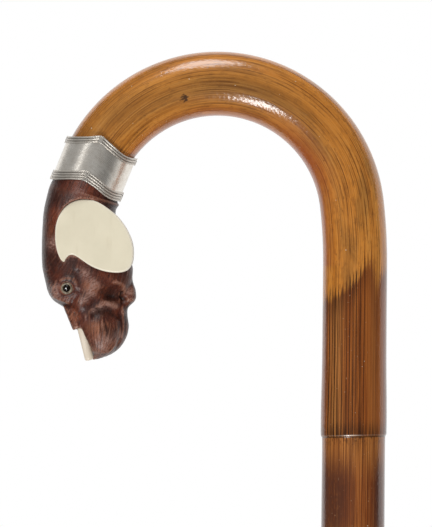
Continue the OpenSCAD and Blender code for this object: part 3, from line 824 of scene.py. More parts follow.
# %% The finish of the silver
silver = Finish("hand_worn_silver")
around_at = silver.fact_vector("around")
scratches = silver.pattern(around_at, (0.25, 1, 9), detail=4, rough=0.6)
cloud = silver.pattern(around_at, (0.35, 0.35, 0.35), (3, 3, 3), rough=0.6)
radius_at = silver.axes(around_at)["Y"]
between_reeds = silver.span(radius_at, STRIP_R + 0.12, STRIP_R + 0.01)
on_border = silver.span(radius_at, SLEEVE_R + 0.01, SLEEVE_R + 0.05)
metal = silver.tones(cloud, (0.3, (222, 214, 203)), (0.7, (240, 235, 226)))
metal = silver.tint(metal, (70, 62, 55), silver.times(between_reeds, on_border, 0.8))
metal = silver.tint(metal, (168, 160, 150), silver.times(on_border, 0.35))
silver_bumps = silver.bump(scratches, 0.08, 0.00006)
silver_bumps = silver.bump(cloud, 0.25, 0.0004, silver_bumps)
dullness = silver.calc("MULTIPLY_ADD", on_border, 0.12, silver.span(scratches, 0.3, 0.7, 0.24, 0.38))
silver_finish = silver.set(Base_Color=metal, Metallic=1.0, Normal=silver_bumps, Roughness=dullness)
metal_pieces = bpy.data.collections.new("metal_pieces")
for piece, node in ((band, "collar_sleeve"), (upper_reeds, "collar_upper_border"),
                    (lower_reeds, "collar_lower_border"), (ties, "collar_ties")):
    settle(piece, node, silver_finish)
    metal_pieces.objects.link(piece)

# %% [markdown]
# ## The carved head
#
# The head is one block of dark wood, sawn to its outline and then cut with gouges. The mesh is made
# in the same order. Slices down the head give the block. A voxel remesh turns it into an even skin,
# with the sheaths of the tusks grown into it, and the cuts of the gouge then push that skin in and out.
# Sculpting by hand would look as good, but a script can't repeat it.

# %% Slices of the block
NECK_R = BORE_R - 0.15
# u and v at the forehead, u and v at the throat, half width, how much it narrows towards the throat,
# radius of the rolled trunk at the throat, how far the block stops short of it
NECK = [
    (-NECK_R, -0.3, NECK_R, -0.3, NECK_R, 0, 3, 0),
    (-NECK_R, -9.7, NECK_R, -8.15, NECK_R, 0, 3, 0),
    (-NECK_R - 0.15, -10.9, NECK_R + 1.2, -9.0, NECK_R + 0.35, 0, 3, 0)]
SLICES = [
    (-12.8, -13.6, 13.5, -11.0, 13.1, 0.02, 3, 0),
    (-11.7, -20.7, 14.4, -13.6, 13.3, 0.04, 3, 0),
    (-10.2, -25.8, 16.7, -16.7, 13.3, 0.06, 3, 0),
    (-8.2, -31.5, 19.7, -21.0, 13.3, 0.08, 3, 0),
    (-5.9, -37.4, 23.8, -25.2, 13.0, 0.1, 3, 0),
    (-3.8, -41.8, 27.3, -28.6, 12.6, 0.14, 3, 0),
    (-1.1, -45.8, 29.0, -33.0, 12.2, 0.2, 3, 0),
    (1.5, -49.3, 31.7, -36.4, 11.6, 0.24, 3.4, 2.6),
    (4.6, -51.4, 32.9, -39.7, 10.8, 0.24, 3.8, 3.4),
    (9.3, -52.4, 31.5, -43.4, 9.8, 0.22, 4, 2.6),
    (11.4, -54.2, 32.5, -46.5, 9.3, 0.18, 4.2, 2.2),
    (14.5, -57.0, 34.3, -49.7, 9.0, 0.14, 4.4, 2.3),
    (17.4, -58.6, 35.0, -53.4, 8.8, 0.1, 4.6, 2.2),
    (20.1, -60.6, 34.6, -57.2, 8.4, 0.06, 4.8, 1.4),
    (23.5, -63.2, 33.1, -60.6, 7.2, 0.02, 4.8, 0.4),
    (25.4, -64.7, 31.0, -63.1, 4.6, 0, 2.5, 0),
    (26.2, -66.6, 28.2, -65.5, 1.7, 0, 0.7, 0)]


def slice_half_width(q, long, power, half, narrows, roll_r, short):
    """Half width of a slice at a length q from the forehead."""
    main = np.clip(1 - np.abs(2 * q / (long - short) - 1) ** power, 0, 1) ** (1 / power)
    main = np.where(q < long - short, half * main * (1 - narrows * q / long), 0)
    rolled = np.sqrt(np.clip(roll_r ** 2 - (q - long + roll_r) ** 2, 0, None))
    return np.maximum(main, np.where(q > long - 2 * roll_r, rolled, 0))


def block(count=120):
    """Skin of the block, as rings of [u, y, v]. The slices grow squarer below the neck."""
    rows = [np.array(NECK[0]), np.array(NECK[1]), *smooth_line([NECK[2], *SLICES], 6)]
    a = np.arange(count) / count * 2 * math.pi
    rings = []
    for k, row in enumerate(rows):
        front, throat = row[0:2], row[2:4]
        long = np.linalg.norm(throat - front)
        q = long * (1 - np.cos(a)) / 2
        at = front + (q / long)[:, None] * (throat - front)
        power = 2 + 0.5 * min(1, max(0, (k - 2) / 12))
        half_width = slice_half_width(q, long, power, *row[4:])
        rings.append(np.stack([at[:, 0], np.sign(np.sin(a).round(9)) * half_width, at[:, 1]], -1))
    return np.array(rings)


block_rings = block()
print("block:", len(block_rings), "slices, from v =", block_rings[..., 2].min().round(1))

# %% [markdown]
# A sheath is a short round rod that the carver left standing round the tusk's root. The same rod, a
# little thinner and longer, later drills the tusk's hole, and once more it is the tusk itself. One
# function makes all three, so they share an axis and fit.

# %% Grow the sheaths in, then remesh
TUSK = np.array([[12.7, -49.2], [24.5, -65.7]])
SHEATH = np.array([[10.9, -50.6], [17.35, -57.25]])
TUSK_Y, TUSK_R = 5.0, 1.8
TUSK_END_R, TUSK_HOLE_END_R = 1.68, 1.65
SHEATH_R = TUSK_R + 0.8
VOXEL = 0.3


def rod(start, end, y, r_start, r_end, fullness=1.0, around=48):
    """Round rod between two points [u, v], y beside the middle plane. Fullness 0.5 gives a blunt end."""
    axis = np.array([end[0] - start[0], 0, end[1] - start[1]])
    long = np.linalg.norm(axis)
    axis /= long
    first = np.array([0, 1, 0])
    second = np.cross(axis, first)
    profile = [[0, r_start], [long * 0.25, r_start + (r_end - r_start) * 0.25],
               [long * 0.5, (r_start + r_end) / 2], [long * 0.75, r_start + (r_end - r_start) * 0.75]]
    profile += [[long + r_end * math.sin(t) ** fullness, r_end * math.cos(t) ** fullness]
                for t in np.radians([0, 3, 8, 16, 24, 32, 40, 48, 56, 64, 72, 80, 86])]
    a = np.arange(around) / around * 2 * math.pi
    ring = np.cos(a)[:, None] * first + np.sin(a)[:, None] * second
    return np.array([np.array([start[0], y, start[1]]) + h * axis + r * ring for h, r in profile])


def raw_piece(name, parts):
    """A closed object in millimetres from lots of rings, to be remeshed or to cut with."""
    piece = put_in_scene(name, *joined([(p.reshape(-1, 3), tube_faces(*p.shape[:2])) for p in parts]))
    face_outwards(piece.data)
    return piece


def apply_modifiers(piece):
    shown = piece.evaluated_get(bpy.context.evaluated_depsgraph_get())
    mesh = bpy.data.meshes.new_from_object(shown)
    piece.modifiers.clear()
    old, piece.data = piece.data, mesh
    bpy.data.meshes.remove(old)


sheaths = [rod(SHEATH[1], SHEATH[0], side * TUSK_Y, SHEATH_R, SHEATH_R) for side, _ in SIDES]
head = raw_piece("elephant_head", [block_rings, *sheaths])
remesh = head.modifiers.new("even", "REMESH")
remesh.mode, remesh.voxel_size = "VOXEL", VOXEL
apply_modifiers(head)
print("head skin:", len(head.data.vertices), "points")

# %% [markdown]
# The gouge's cuts are listed as the carver would name them: swellings, hollows, ridges and grooves,
# each with its place, its width and its height. They are drawn on the side of the head, and both
# sides are cut alike. They could be sculpted with a brush. As a list they can be corrected one by one
# against the photograph.

# %% The carver's list
EYE = np.array([7.4, -45.2])
SWELLINGS = [  # middle, radius, height: a swelling below 0 is a hollow
    ((4.6, -49.0), 4.0, 0.6), ((7.4, -45.2), 4.0, 0.7), ((14.9, -41.6), 4.4, 0.9),
    ((17.6, -40.2), 2.6, 0.35), ((14.0, -47.4), 3.0, 0.4), ((24.6, -41.0), 3.4, -1.6),
    ((19.0, -45.8), 2.4, -0.6), ((25.4, -48.6), 2.6, -0.4), ((27.0, -56.0), 6.5, 0.8),
    ((22.6, -35.6), 3.0, 0.5), ((30.0, -37.6), 1.8, 0.4), ((3.4, -46.4), 1.6, 0.25)]
CUTS = {  # line, width, height: ridges stand up, grooves and hollows go down
    "cheek": ([(10.1, -36.6), (13.3, -37.3), (16.4, -38.6), (18.6, -40.8), (18.1, -42.9), (16.1, -45.1),
               (15.0, -47.3), (14.8, -49.7)], 2.4, 0.3),
    "valley by the eye": ([(8.7, -38.3), (11.0, -40.6), (11.7, -43.0), (11.8, -45.6), (11.4, -48.4)],
                          1.4, -0.35),
    "lid fold": ([(4.3, -43.1), (5.9, -41.6), (7.9, -41.1), (9.8, -41.5), (11.4, -42.7), (12.2, -44.1)],
                 0.9, 0.16),
    "upper lid line": ([(4.8, -44.6), (5.4, -43.3), (6.5, -42.6), (7.8, -42.4), (9.2, -42.8), (10.2, -43.9)],
                       0.5, -0.2),
    "lower lid line": ([(5.2, -46.9), (6.4, -47.8), (7.8, -48.0), (9.2, -47.4), (10.2, -46.3)], 0.5, -0.2),
    "corner": ([(10.2, -45.2), (11.7, -44.4), (12.8, -44.6)], 0.7, -0.25),
    "brow": ([(2.9, -44.2), (3.3, -45.6), (3.2, -47.0), (4.4, -48.3)], 0.9, 0.2),
    "brow edge": ([(1.8, -48.9), (3.5, -49.6), (5.3, -49.9), (7.8, -49.7), (9.9, -49.9)], 0.9, 0.3),
    "under the brow": ([(5.6, -50.8), (8.2, -51.0), (10.6, -51.3)], 0.9, -0.3),
    "wrinkle 1": ([(2.1, -43.0), (2.3, -45.2), (2.2, -46.6), (2.6, -48.2)], 0.35, -0.1),
    "wrinkle 2": ([(4.0, -43.8), (3.8, -45.6), (4.1, -47.2)], 0.32, -0.09),
    "wrinkle 3": ([(0.8, -45.2), (1.1, -47.1), (2.0, -48.4)], 0.35, -0.1),
    "jaw hollow": ([(20.6, -41.9), (23.1, -42.4), (25.9, -42.0), (28.1, -41.3)], 1.7, -1.1),
    "jaw ridge": ([(23.4, -36.4), (25.4, -36.2), (27.2, -36.8), (27.8, -38.2)], 1.0, 0.3),
    "mouth": ([(27.6, -38.8), (28.3, -40.0), (28.9, -41.1)], 0.5, -0.8),
    "lip": ([(29.2, -39.6), (30.4, -40.6), (31.6, -40.2)], 0.7, 0.3),
    "foot of the arch": ([(17.9, -51.8), (18.9, -49.4)], 1.6, 0.25),
    "arch": ([(20.6, -47.0), (21.9, -45.8), (23.9, -44.8), (26.4, -44.6), (28.4, -45.0), (29.8, -45.9)],
             1.4, 0.55),
    "under the arch": ([(20.9, -50.6), (22.2, -48.6), (24.2, -47.4), (26.8, -47.0), (28.9, -47.6)],
                       1.5, -0.5),
    "flank edge": ([(29.2, -43.9), (30.3, -46.3), (31.5, -48.7), (32.5, -51.5), (32.8, -54.5)], 0.5, 0.25),
    "sheath groove": ([(15.6, -54.4), (17.3, -56.4), (18.7, -58.1)], 0.6, -0.15)}


def spots(p, places):
    """Sum of round spots, each given as its middle, its radius and its height."""
    return sum(height * bell(np.linalg.norm(p - np.array(at), axis=1) / r) for at, r, height in places)


def off_line(p, line):
    """Distance of points from a broken line."""
    best = np.full(len(p), 1e9)
    for a, b in zip(line[:-1], line[1:]):
        a, b = np.array(a, float), np.array(b, float)
        t = np.clip(((p - a) @ (b - a)) / ((b - a) @ (b - a)), 0, 1)
        best = np.minimum(best, np.linalg.norm(p - a - t[:, None] * (b - a), axis=1))
    return best


def carve(p):
    """Height that the cuts add at points [u, v] of a side."""
    height = spots(p, SWELLINGS)
    for line, width, rise in CUTS.values():
        fine_line = smooth_line(line, 5) if len(line) > 2 else np.array(line)
        height += rise * bell(off_line(p, fine_line) / width)
    return height


print("the carver makes", len(CUTS), "cuts and", len(SWELLINGS), "swellings")

# %% [markdown]
# A gouge leaves shallow parallel lines. Over most of the head they run down. On the muzzle they run
# like meridians, from the arch to the foot, and close up as the muzzle narrows. Each set is a sum of
# five waves with different widths, whose phases drift, so that no two lines are alike. A bump in the
# finish would be cheaper, but real grooves catch the light along their whole length.

# %% Lines of the gouge
MUZZLE_FRONT = [(13.8, -50), (15.6, -54), (17.6, -57), (19.5, -59.1), (22.8, -61.8), (25.3, -63.6),
                (27.6, -65.9)]
MUZZLE_BACK = [(33.2, -48.5), (34.6, -52), (35.0, -55), (34.4, -58.5), (32.6, -61.8), (30.4, -64.4),
               (28.4, -66.6)]
MUZZLE_W = 18


def across_muzzle(p):
    """Place between the muzzle's front and back lines, in millimetres of its widest part."""
    front, back = np.array(MUZZLE_FRONT)[::-1], np.array(MUZZLE_BACK)[::-1]
    low = np.interp(p[:, 1], front[:, 1], front[:, 0])
    high = np.interp(p[:, 1], back[:, 1], back[:, 0])
    return np.clip((p[:, 0] - low) / np.maximum(high - low, 0.8), -0.3, 1.3) * MUZZLE_W


def muzzle_share(p):
    """1 on the muzzle, 0 on the rest of the head."""
    return step(-p[:, 1], 47.5, 52) * step(p[:, 0] - 0.75 * (-p[:, 1] - 48), 12, 16)


def gouge_lines(across_line, along_line, seed):
    """Shallow parallel cuts: waves across the line whose phase drifts slowly along it."""
    chance = np.random.default_rng(seed)
    height = 0
    for length in (0.75, 0.95, 1.25, 1.7, 2.3):
        drift = chance.uniform(0.9, 1.8) * np.sin(along_line / chance.uniform(2, 4.5) + chance.uniform(0, 6))
        phase = 2 * math.pi * across_line / length + 2 * drift + chance.uniform(0, 6)
        height = height + length ** 0.5 * np.sin(phase)
    return height / 5


print("the muzzle is", MUZZLE_W, "mm across at its widest")


# %% Read, move and even out a skin
def read_rows(layer, field):
    values = np.zeros(len(layer) * 3, np.float32)
    layer.foreach_get(field, values)
    return values.reshape(-1, 3).astype(float)


def points_of(mesh):
    return read_rows(mesh.vertices, "co")


def normals_of(mesh):
    return read_rows(mesh.vertex_normals, "vector")


def move_points(mesh, points):
    mesh.vertices.foreach_set("co", points.astype(np.float32).ravel())
    mesh.update()


def even_out(mesh, values, rounds):
    """Values averaged with their neighbours' along the edges, several times."""
    pairs = np.zeros(len(mesh.edges) * 2, np.int32)
    mesh.edges.foreach_get("vertices", pairs)
    a, b = pairs.reshape(-1, 2).T
    n = len(values)
    count = np.maximum(np.bincount(np.concatenate([a, b]), minlength=n), 1)[:, None]
    for _ in range(rounds):
        total = [np.bincount(a, column[b], n) + np.bincount(b, column[a], n) for column in values.T]
        values = 0.5 * values + 0.5 * np.stack(total, -1) / count
    return values


print("skins can be evened out")

# %% [markdown]
# Now the skin is cut. It moves along its own normal, so a ridge stays round where the head turns away.
# The cuts stay on the flanks. Round the sheaths the skin is softened first, as a carver blends a
# sheath into the cheek.

# %% Carve
LINE_DEPTH, COMB_DEPTH = 0.05, 0.085
SOFTEN, SOFT_REACH = 0.9, 2.6
skin = even_out(head.data, points_of(head.data), 4)
softer = even_out(head.data, skin, 40)
by_sheath = SOFTEN * bell(off_line(skin[:, [0, 2]] - [1.2, 1.0], SHEATH) / SOFT_REACH)[:, None]
skin = skin * (1 - by_sheath) + softer * by_sheath
move_points(head.data, skin)
normal = even_out(head.data, normals_of(head.data), 6)
normal /= np.linalg.norm(normal, axis=1)[:, None]
side_view = skin[:, [0, 2]]
u, v = side_view.T
flank = step(np.abs(normal[:, 1]), 0.12, 0.7) * step(-v, 11.5, 17)
muzzle_here, fan = muzzle_share(side_view), across_muzzle(side_view)
combed = muzzle_here * (0.3 + 0.7 * step(fan / MUZZLE_W, 0.12, 0.45) * step(-v, 48, 55))
lines_down = gouge_lines(u + 0.35 * skin[:, 1], v, 3)
lines_fan = gouge_lines(fan, v, 5)
tooled = LINE_DEPTH * (1 - muzzle_here) * lines_down * step(-v, 11, 14)
tooled = tooled + COMB_DEPTH * combed * lines_fan
move_points(head.data, skin + normal * (flank * carve(side_view) + tooled)[:, None])
print("carved by up to", np.abs(carve(side_view)).max().round(2), "mm")

# %% [markdown]
# Ear plates, eyes and tusks are let into the wood. Each seat is a cut with a solid of the same shape
# as the piece, a hair larger, so the pieces sit as they do in the solid model. The ear is drawn on
# its own flat seat, which splays out from the head. The eye has a frame of its own, turned to look
# forward. The pieces could just be pushed into the wood, but it would poke through a thin plate.

# %% Frames of the ear and the eye
EAR = [[1.8, -11.7], [4.6, -11.0], [7.7, -11.1], [11.0, -11.8], [14.0, -12.7], [17.1, -14.2],
       [19.8, -16.0], [22.4, -18.3], [24.5, -20.9], [25.9, -23.7], [26.8, -26.8], [26.7, -29.4],
       [25.4, -31.3], [22.6, -32.9], [18.4, -34.0], [14.0, -34.2], [10.3, -33.6], [7.3, -32.9],
       [5.2, -32.8], [3.9, -33.5], [3.3, -34.9], [3.0, -36.4], [1.6, -36.0], [-0.4, -34.2],
       [-2.3, -31.5], [-3.8, -28.4], [-4.9, -24.9], [-5.2, -21.3], [-4.6, -17.9], [-3.0, -15.0],
       [-0.7, -12.9]]
EAR_FRONT, EAR_SEAT, EAR_SPLAY, EAR_T = -5.2, 9.5, math.radians(5), 2.4
EYE_OUT, EYE_TURN = 11.3, math.radians(14)
RING_R, GLASS_R, RING_T = 2.2, 1.5, 1.4
GLUE, HAIR = 0.05, 0.1
ear_line = smooth_line(EAR, 6, closed=True)


def turned_out(x, height, by, out, side):
    """A point x along a seat and a height above it, as u and y, on the left (-1) or right (1) side."""
    c, s = math.cos(by), math.sin(by)
    return x * c - height * s, (-x * s - height * c - out) * -side


def ear_space(outline, height, side):
    """Points of the ear's drawing, at a height above its seat."""
    x = outline[:, 0] - EAR_FRONT
    u, y = turned_out(x, np.broadcast_to(height, x.shape), EAR_SPLAY, EAR_SEAT, side)
    return np.stack([u + EAR_FRONT, y, outline[:, 1]], -1)


def turn_on_lathe(profile, side, around=48):
    """Turns a profile of [radius, height] about the eye's axis, which points out of the head."""
    a = np.arange(around) / around * 2 * math.pi * -side
    rings = []
    for r, h in profile:
        u, y = turned_out(r * np.cos(a), np.full(around, float(h)), EYE_TURN, EYE_OUT, side)
        rings.append(np.stack([u + EYE[0], y, r * np.sin(a) + EYE[1]], -1))
    return np.array(rings)


def grown(outline, by):
    """Outline moved outwards by a distance, or by one distance for each point."""
    ahead = np.roll(outline, -1, 0) - np.roll(outline, 1, 0)
    out = np.stack([-ahead[:, 1], ahead[:, 0]], -1) / np.linalg.norm(ahead, axis=1)[:, None]
    return outline + np.reshape(by, (-1, 1)) * out


print("the ear is drawn with", len(ear_line), "points")

# %% Cut the seats
for side, _ in SIDES:
    ear_seat = np.array([ear_space(grown(ear_line, GLUE), h, side) for h in (0, 3 * EAR_T)])
    eye_hole = turn_on_lathe([[RING_R + GLUE, -RING_T - HAIR], [RING_R + GLUE, 5]], side)
    tusk_hole = rod(TUSK[0], TUSK[1], side * TUSK_Y, TUSK_R + GLUE, TUSK_HOLE_END_R + GLUE)
    for rings in (ear_seat, eye_hole, tusk_hole):
        tool = raw_piece("cutting_tool", [rings])
        cut = head.modifiers.new("cut", "BOOLEAN")
        cut.operation, cut.object, cut.solver = "DIFFERENCE", tool, "EXACT"
        apply_modifiers(head)
        bpy.data.objects.remove(tool)
print("head after its cuts:", len(head.data.vertices), "points")

# %% [markdown]
# The colour is darkened in the hollows as painted shade, and lightened on the ridges as painted
# highlight and rubbing. Both come from how far each point lies below or above its smoothed-out
# neighbours: over a short way for the gouge's lines, over a long way for the big forms. A renderer's
# pointiness tells ridges too. Worked out for each point, the two widths can be told apart and measured.

# %% Hollows, ridges and directions
carved = points_of(head.data)
carved_normals = normals_of(head.data)
even = even_out(head.data, carved, 10)
hollow = ((even - carved) * carved_normals).sum(1)
broad_hollow = ((even_out(head.data, even, 30) - even) * carved_normals).sum(1)
side_view = carved[:, [0, 2]]
u, v = side_view.T
head_facts = {
    "carved_at": carved, "hollow": hollow, "broad_hollow": broad_hollow,
    "facing": step(np.abs(even_out(head.data, carved_normals, 20)[:, 1]), 0.35, 0.9),
    "on_muzzle": muzzle_share(side_view),
    "fan_at": np.stack([across_muzzle(side_view), carved[:, 1], v], -1),
    "strokes_at": np.stack([(u - v) / 2 ** 0.5, carved[:, 1], (u + v) / 2 ** 0.5], -1)}
print("hollows to", hollow.max().round(3), "mm")

# %% [markdown]
# A head that hands have held for years isn't one colour. Dark spots are handling stains together with
# painted shade in the hollows and on the parts turned from the light, and pale spots are painted light
# on the rounded parts that face it. A pinkish painted sheen lies on the highest places. All were read
# off the photograph as round spots on the side of the head. They could be painted on the mesh by hand.
# In a list each one can be moved or weakened by itself.

# %% Painted shade, painted light and handling stains
SHADE_LIGHT_AND_STAIN_SPOTS = [  # middle, radius, strength: below 0 is painted light
    ((-6.5, -14.0), 5.0, 0.8), ((12.0, -10.5), 4.5, 0.7), ((2.0, -37.0), 5.0, 0.7),
    ((11.5, -35.5), 3.5, 0.6), ((24.8, -41.4), 3.5, 0.9), ((17.0, -49.5), 3.0, 0.6),
    ((22.6, -49.4), 2.8, 0.9), ((26.4, -48.0), 2.0, 0.6), ((7.3, -41.3), 2.0, 0.8),
    ((25.2, -53.2), 4.0, -0.45), ((11.6, -44.2), 1.8, 0.5),
    ((15.0, -41.5), 4.0, -0.7), ((27.0, -37.0), 3.0, -0.6), ((14.0, -53.5), 2.5, -0.7),
    ((21.5, -55.5), 3.5, -0.5), ((29.5, -60.0), 3.5, -0.5), ((-6.5, -28.0), 4.0, -0.4)]
# places of the painted sheen
SHEEN_SPOTS = [  # middle, radius
    ((11.8, -37.5), 1.8), ((16.0, -39.9), 2.2), ((16.6, -43.6), 1.7), ((15.4, -46.6), 1.3),
    ((-3.4, -31.5), 2.4), ((19.8, -49.3), 1.0), ((21.7, -46.9), 1.0), ((23.8, -45.3), 1.0),
    ((26.4, -44.7), 1.1), ((28.3, -60.4), 1.8), ((29.0, -57.5), 1.6), ((27.1, -63.3), 1.5),
    ((3.2, -46.9), 1.8), ((29.5, -37.5), 1.6), ((32.2, -54.6), 1.9), ((26.2, -57.6), 1.4),
    ((4.8, -49.2), 1.4)]
# dark spots are stains and painted shade, those below 0 are painted light, and the sheen spots carry a
# painted sheen
head_facts["shade_light_and_stain"] = spots(side_view, SHADE_LIGHT_AND_STAIN_SPOTS)
head_facts["sheen_spots"] = np.clip(spots(side_view, [(*place, 1) for place in SHEEN_SPOTS]), 0, 1)
print(len(SHADE_LIGHT_AND_STAIN_SPOTS), "stained or rubbed places and", len(SHEEN_SPOTS), "polished ones")

# %% Place the head
placed = from_head(carved) * MM
placed[:, 0] = np.maximum(placed[:, 0], cad_low[0])
move_points(head.data, placed)
for key, values in head_facts.items():
    add_fact(head.data, key, values)
shade_smooth(head.data)
print("head spans", (placed.max(0) - placed.min(0)).round(4), "m")

# %% [markdown]
# ## Dark carved wood
#
# The head is a dense red-brown wood, oiled and darkened by handling. Its grain runs down the head, and
# on the muzzle it follows the gouge's meridians. So two sets of noise are drawn, one along each
# direction, and the muzzle's share mixes them.

# %% Grain of the wood
wood = Finish("oiled_dark_wood")
wood_at = wood.fact_vector("carved_at")
fan_at = wood.fact_vector("fan_at")
muzzle = wood.fact("on_muzzle")
grain = wood.pattern(wood_at, (1.3, 1.3, 0.16), detail=4, rough=0.6, twist=0.3)
grain_fan = wood.pattern(fan_at, (1.5, 0.6, 0.1), detail=4, rough=0.6, twist=0.2)
hairs = wood.pattern(wood_at, (4.2, 4.2, 0.35), (4, 4, 4), rough=0.6)
hairs_fan = wood.pattern(fan_at, (4.4, 2.0, 0.2), (4, 4, 4), rough=0.6)
streaks = wood.mix(muzzle, grain, grain_fan)
strands = wood.mix(muzzle, hairs, hairs_fan)
stipple = wood.pattern(wood_at, (1.7, 1.7, 1.1), (9, 2, 5), 4, 0.65)
zones = wood.pattern(wood_at, (0.12, 0.12, 0.1), (1, 6, 3))
shade_light_and_stain, facing = wood.fact("shade_light_and_stain"), wood.fact("facing")
brown = wood.tones(zones, (0.36, (60, 22, 12)), (0.5, (84, 33, 18)), (0.66, (108, 47, 22)))
brown = wood.tint_where(
    brown,
    # dark where the spots are stains and painted shade, pale where they are painted light
    (shade_light_and_stain, 0.0, 1.0, 0.7, (48, 20, 8)),
    (shade_light_and_stain, 0.0, -1.0, 0.7, (158, 90, 52)),
    # painted shade where the surface turns away from the side of the head
    (facing, 1.0, 0.0, 0.6, (56, 24, 9)),
    (streaks, 0.48, 0.64, 0.6, (42, 16, 6)),
    (streaks, 0.42, 0.3, 0.35, (132, 72, 42)),
    (strands, 0.54, 0.68, 0.65, (28, 12, 7)))
print("bare wood ready")

# %% [markdown]
# The muzzle looks combed: pale and dark fibres lie side by side along the meridians, and the pale ones
# carry painted highlights along them too. They are hardly seen by the tusk and under the arch, and come
# out towards the back and the foot. They are finer than the mesh, so they are colour alone, laid over
# the gouge's real lines.

# %% Combed fibres of the muzzle
combing = wood.pattern(fan_at, (1.9, 1.0, 0.1), (6, 1, 2), 2)
fan_axes = wood.axes(fan_at)
combed_here = wood.times(wood.span(fan_axes["X"], 2.0, 8.0, 0.3, 1.0),
                         wood.span(fan_axes["Z"], -49.5, -53.5, 0.15, 1.0), muzzle)
dark_comb = wood.times(combed_here, wood.span(combing, 0.5, 0.6, 0, 0.65))
brown = wood.tint(brown, (44, 18, 10), dark_comb)
# pale fibres, partly painted highlights along the fibres
pale_comb_and_glints = wood.times(combed_here, wood.span(combing, 0.47, 0.37, 0, 0.55))
brown = wood.tint(brown, (164, 102, 68), pale_comb_and_glints)
print("combed fibres ready")

# %% [markdown]
# Painted shade and light go on last: dark in the hollows, pale on the ridges as painted highlight and
# rubbing, and a pinkish painted sheen in strokes on the spots where the light shines most.

# %% Painted shade, highlights and sheen
low_here, low_around = wood.fact("hollow"), wood.fact("broad_hollow")
brown = wood.tint_where(
    brown,
    # painted shade in the broad hollows and the gouge's lines, and painted highlight with rubbing on the
    # ridges
    (low_around, 0.03, 0.4, 0.6, (38, 19, 14)),
    (low_here, 0.008, 0.12, 0.6, (30, 14, 10)),
    (low_here, -0.008, -0.06, 0.5, (150, 96, 70)))
# painted sheen: pinkish-grey stipple on the raised places
painted_sheen = wood.times(wood.span(low_around, -0.02, -0.22), wood.span(stipple, 0.45, 0.58, 0, 0.7))
brown = wood.tint(brown, (178, 138, 122), painted_sheen)
strokes = wood.pattern(wood.fact_vector("strokes_at"), (2.3, 1.0, 0.8), (2, 2, 9), rough=0.6)
strokes = wood.mix(muzzle, strokes, hairs_fan)
# painted sheen in strokes round the sheen spots
sheen_strokes = wood.times(wood.fact("sheen_spots"), wood.span(strokes, 0.4, 0.6, 0.12, 0.85))
brown = wood.tint(brown, (158, 122, 110), sheen_strokes)
print("wood's colour ready")

# %% [markdown]
# The oil and wax are a thin, soft coat. Like the varnish it has its own shallow dimples, so its
# highlights break up instead of lying on the head as one clean spot.

# %% Wax
wood_bumps = wood.bump(strands, 0.8, 0.00025)
wood_bumps = wood.bump(streaks, 0.6, 0.0005, wood_bumps)
wood_bumps = wood.bump(stipple, 0.9, 0.0008, wood_bumps)
dimples = wood.pattern(wood_at, (1.3, 1.3, 1.0), (7, 3, 2), 1.0, 0.4)
wood_finish = wood.set(
    Base_Color=brown, Normal=wood_bumps, Roughness=wood.span(streaks, 0.3, 0.7, 0.38, 0.5),
    Specular_IOR_Level=0.2, Coat_Weight=0.62, Coat_Roughness=0.36,
    Coat_Normal=wood.bump(dimples, 1.0, 0.0001))
settle(head, "carved_head", wood_finish)

# %% [markdown]
# ## Cream ears and tusks
#
# Ears and tusks are cut from a cream, bone-like plate and polished. The plate's edge is rounded, and a
# thin painted highlight runs along it. A bevel modifier could round it, but it would fold over at the
# pointed tip, so the rounding is swept round the ear's outline and gets smaller there.

# %% Cream and tusk finishes
cream = Finish("polished_cream")
cream_at = cream.place()
cream_lines = cream.pattern(cream_at, (300, 300, 60))
cream_cloud = cream.pattern(cream_at, (90, 90, 90))
ivory = cream.tones(cream_cloud, (0.3, (224, 215, 190)), (0.7, (233, 224, 199)))
ivory = cream.tint_where(ivory, (cream_lines, 0.55, 0.75, 0.3, (208, 196, 168)))
# painted highlight along the ear's rounded edge
ivory = cream.tint(ivory, (250, 243, 226), cream.times(cream.fact("edge"), 0.8))
cream_finish = cream.set(Base_Color=ivory, Roughness=0.38, Normal=cream.bump(cream_lines, 0.08, 0.0001),
                         Coat_Weight=0.15, Coat_Roughness=0.2)
horn = Finish("polished_tusk")
growth = horn.pattern(horn.place(), (260, 260, 70))
tusk_tone = horn.tones(growth, (0.35, (216, 200, 178)), (0.6, (234, 221, 203)))
tusk_finish = horn.set(Base_Color=tusk_tone, Roughness=0.34, Normal=horn.bump(growth, 0.1, 0.0001),
                       Coat_Weight=0.2, Coat_Roughness=0.2)
print("cream finishes ready")

# %% Ear plates and tusks
EAR_TIP = np.array([2.8, -36.4])
EDGE_R, TIP_LESS, TIP_REACH = 0.7, 0.55, 2.2
edge_r = EDGE_R - TIP_LESS * bell(np.linalg.norm(ear_line - EAR_TIP, axis=1) / TIP_REACH)


def ear_plate(side):
    """Rings of the plate from its back to its face, and how much each ring is edge."""
    levels = [(0.15 * edge_r, HAIR, 1.0), (0 * edge_r, HAIR + 0.2, 1.0),
              (0 * edge_r, EAR_T + HAIR - edge_r, 1.0)]  # inset, height, share of edge
    for t in np.radians([15, 30, 45, 60, 75, 90]):
        face_h = EAR_T + HAIR - edge_r * (1 - math.sin(t))
        levels.append((edge_r * (1 - math.cos(t)), face_h, math.cos(t)))
    rings = [ear_space(grown(ear_line, -inset), height, side) for inset, height, _ in levels]
    return np.array(rings), np.repeat([share for _, _, share in levels], len(ear_line))


for side, word in SIDES:
    rings, rim_highlight_share = ear_plate(side)
    plate = piece_from_rings("ear_" + word, rings, {"edge": rim_highlight_share})
    settle(plate, "ear_plate_" + word, cream_finish)
for side, word in SIDES:
    rings = rod(TUSK[0], TUSK[1], side * TUSK_Y, TUSK_R, TUSK_END_R, fullness=0.5)
    tusk = piece_from_rings("carved_tusk_" + word, rings)
    settle(tusk, "tusk_" + word, tusk_finish)

# %% [markdown]
# ## Glass eyes
#
# Each eye is a black glass bead on a wire, set in a pale ring. The bead could be a sphere. Turned on
# a lathe line it also has the rim that sits in the ring, and its highlight is still one clean spot.

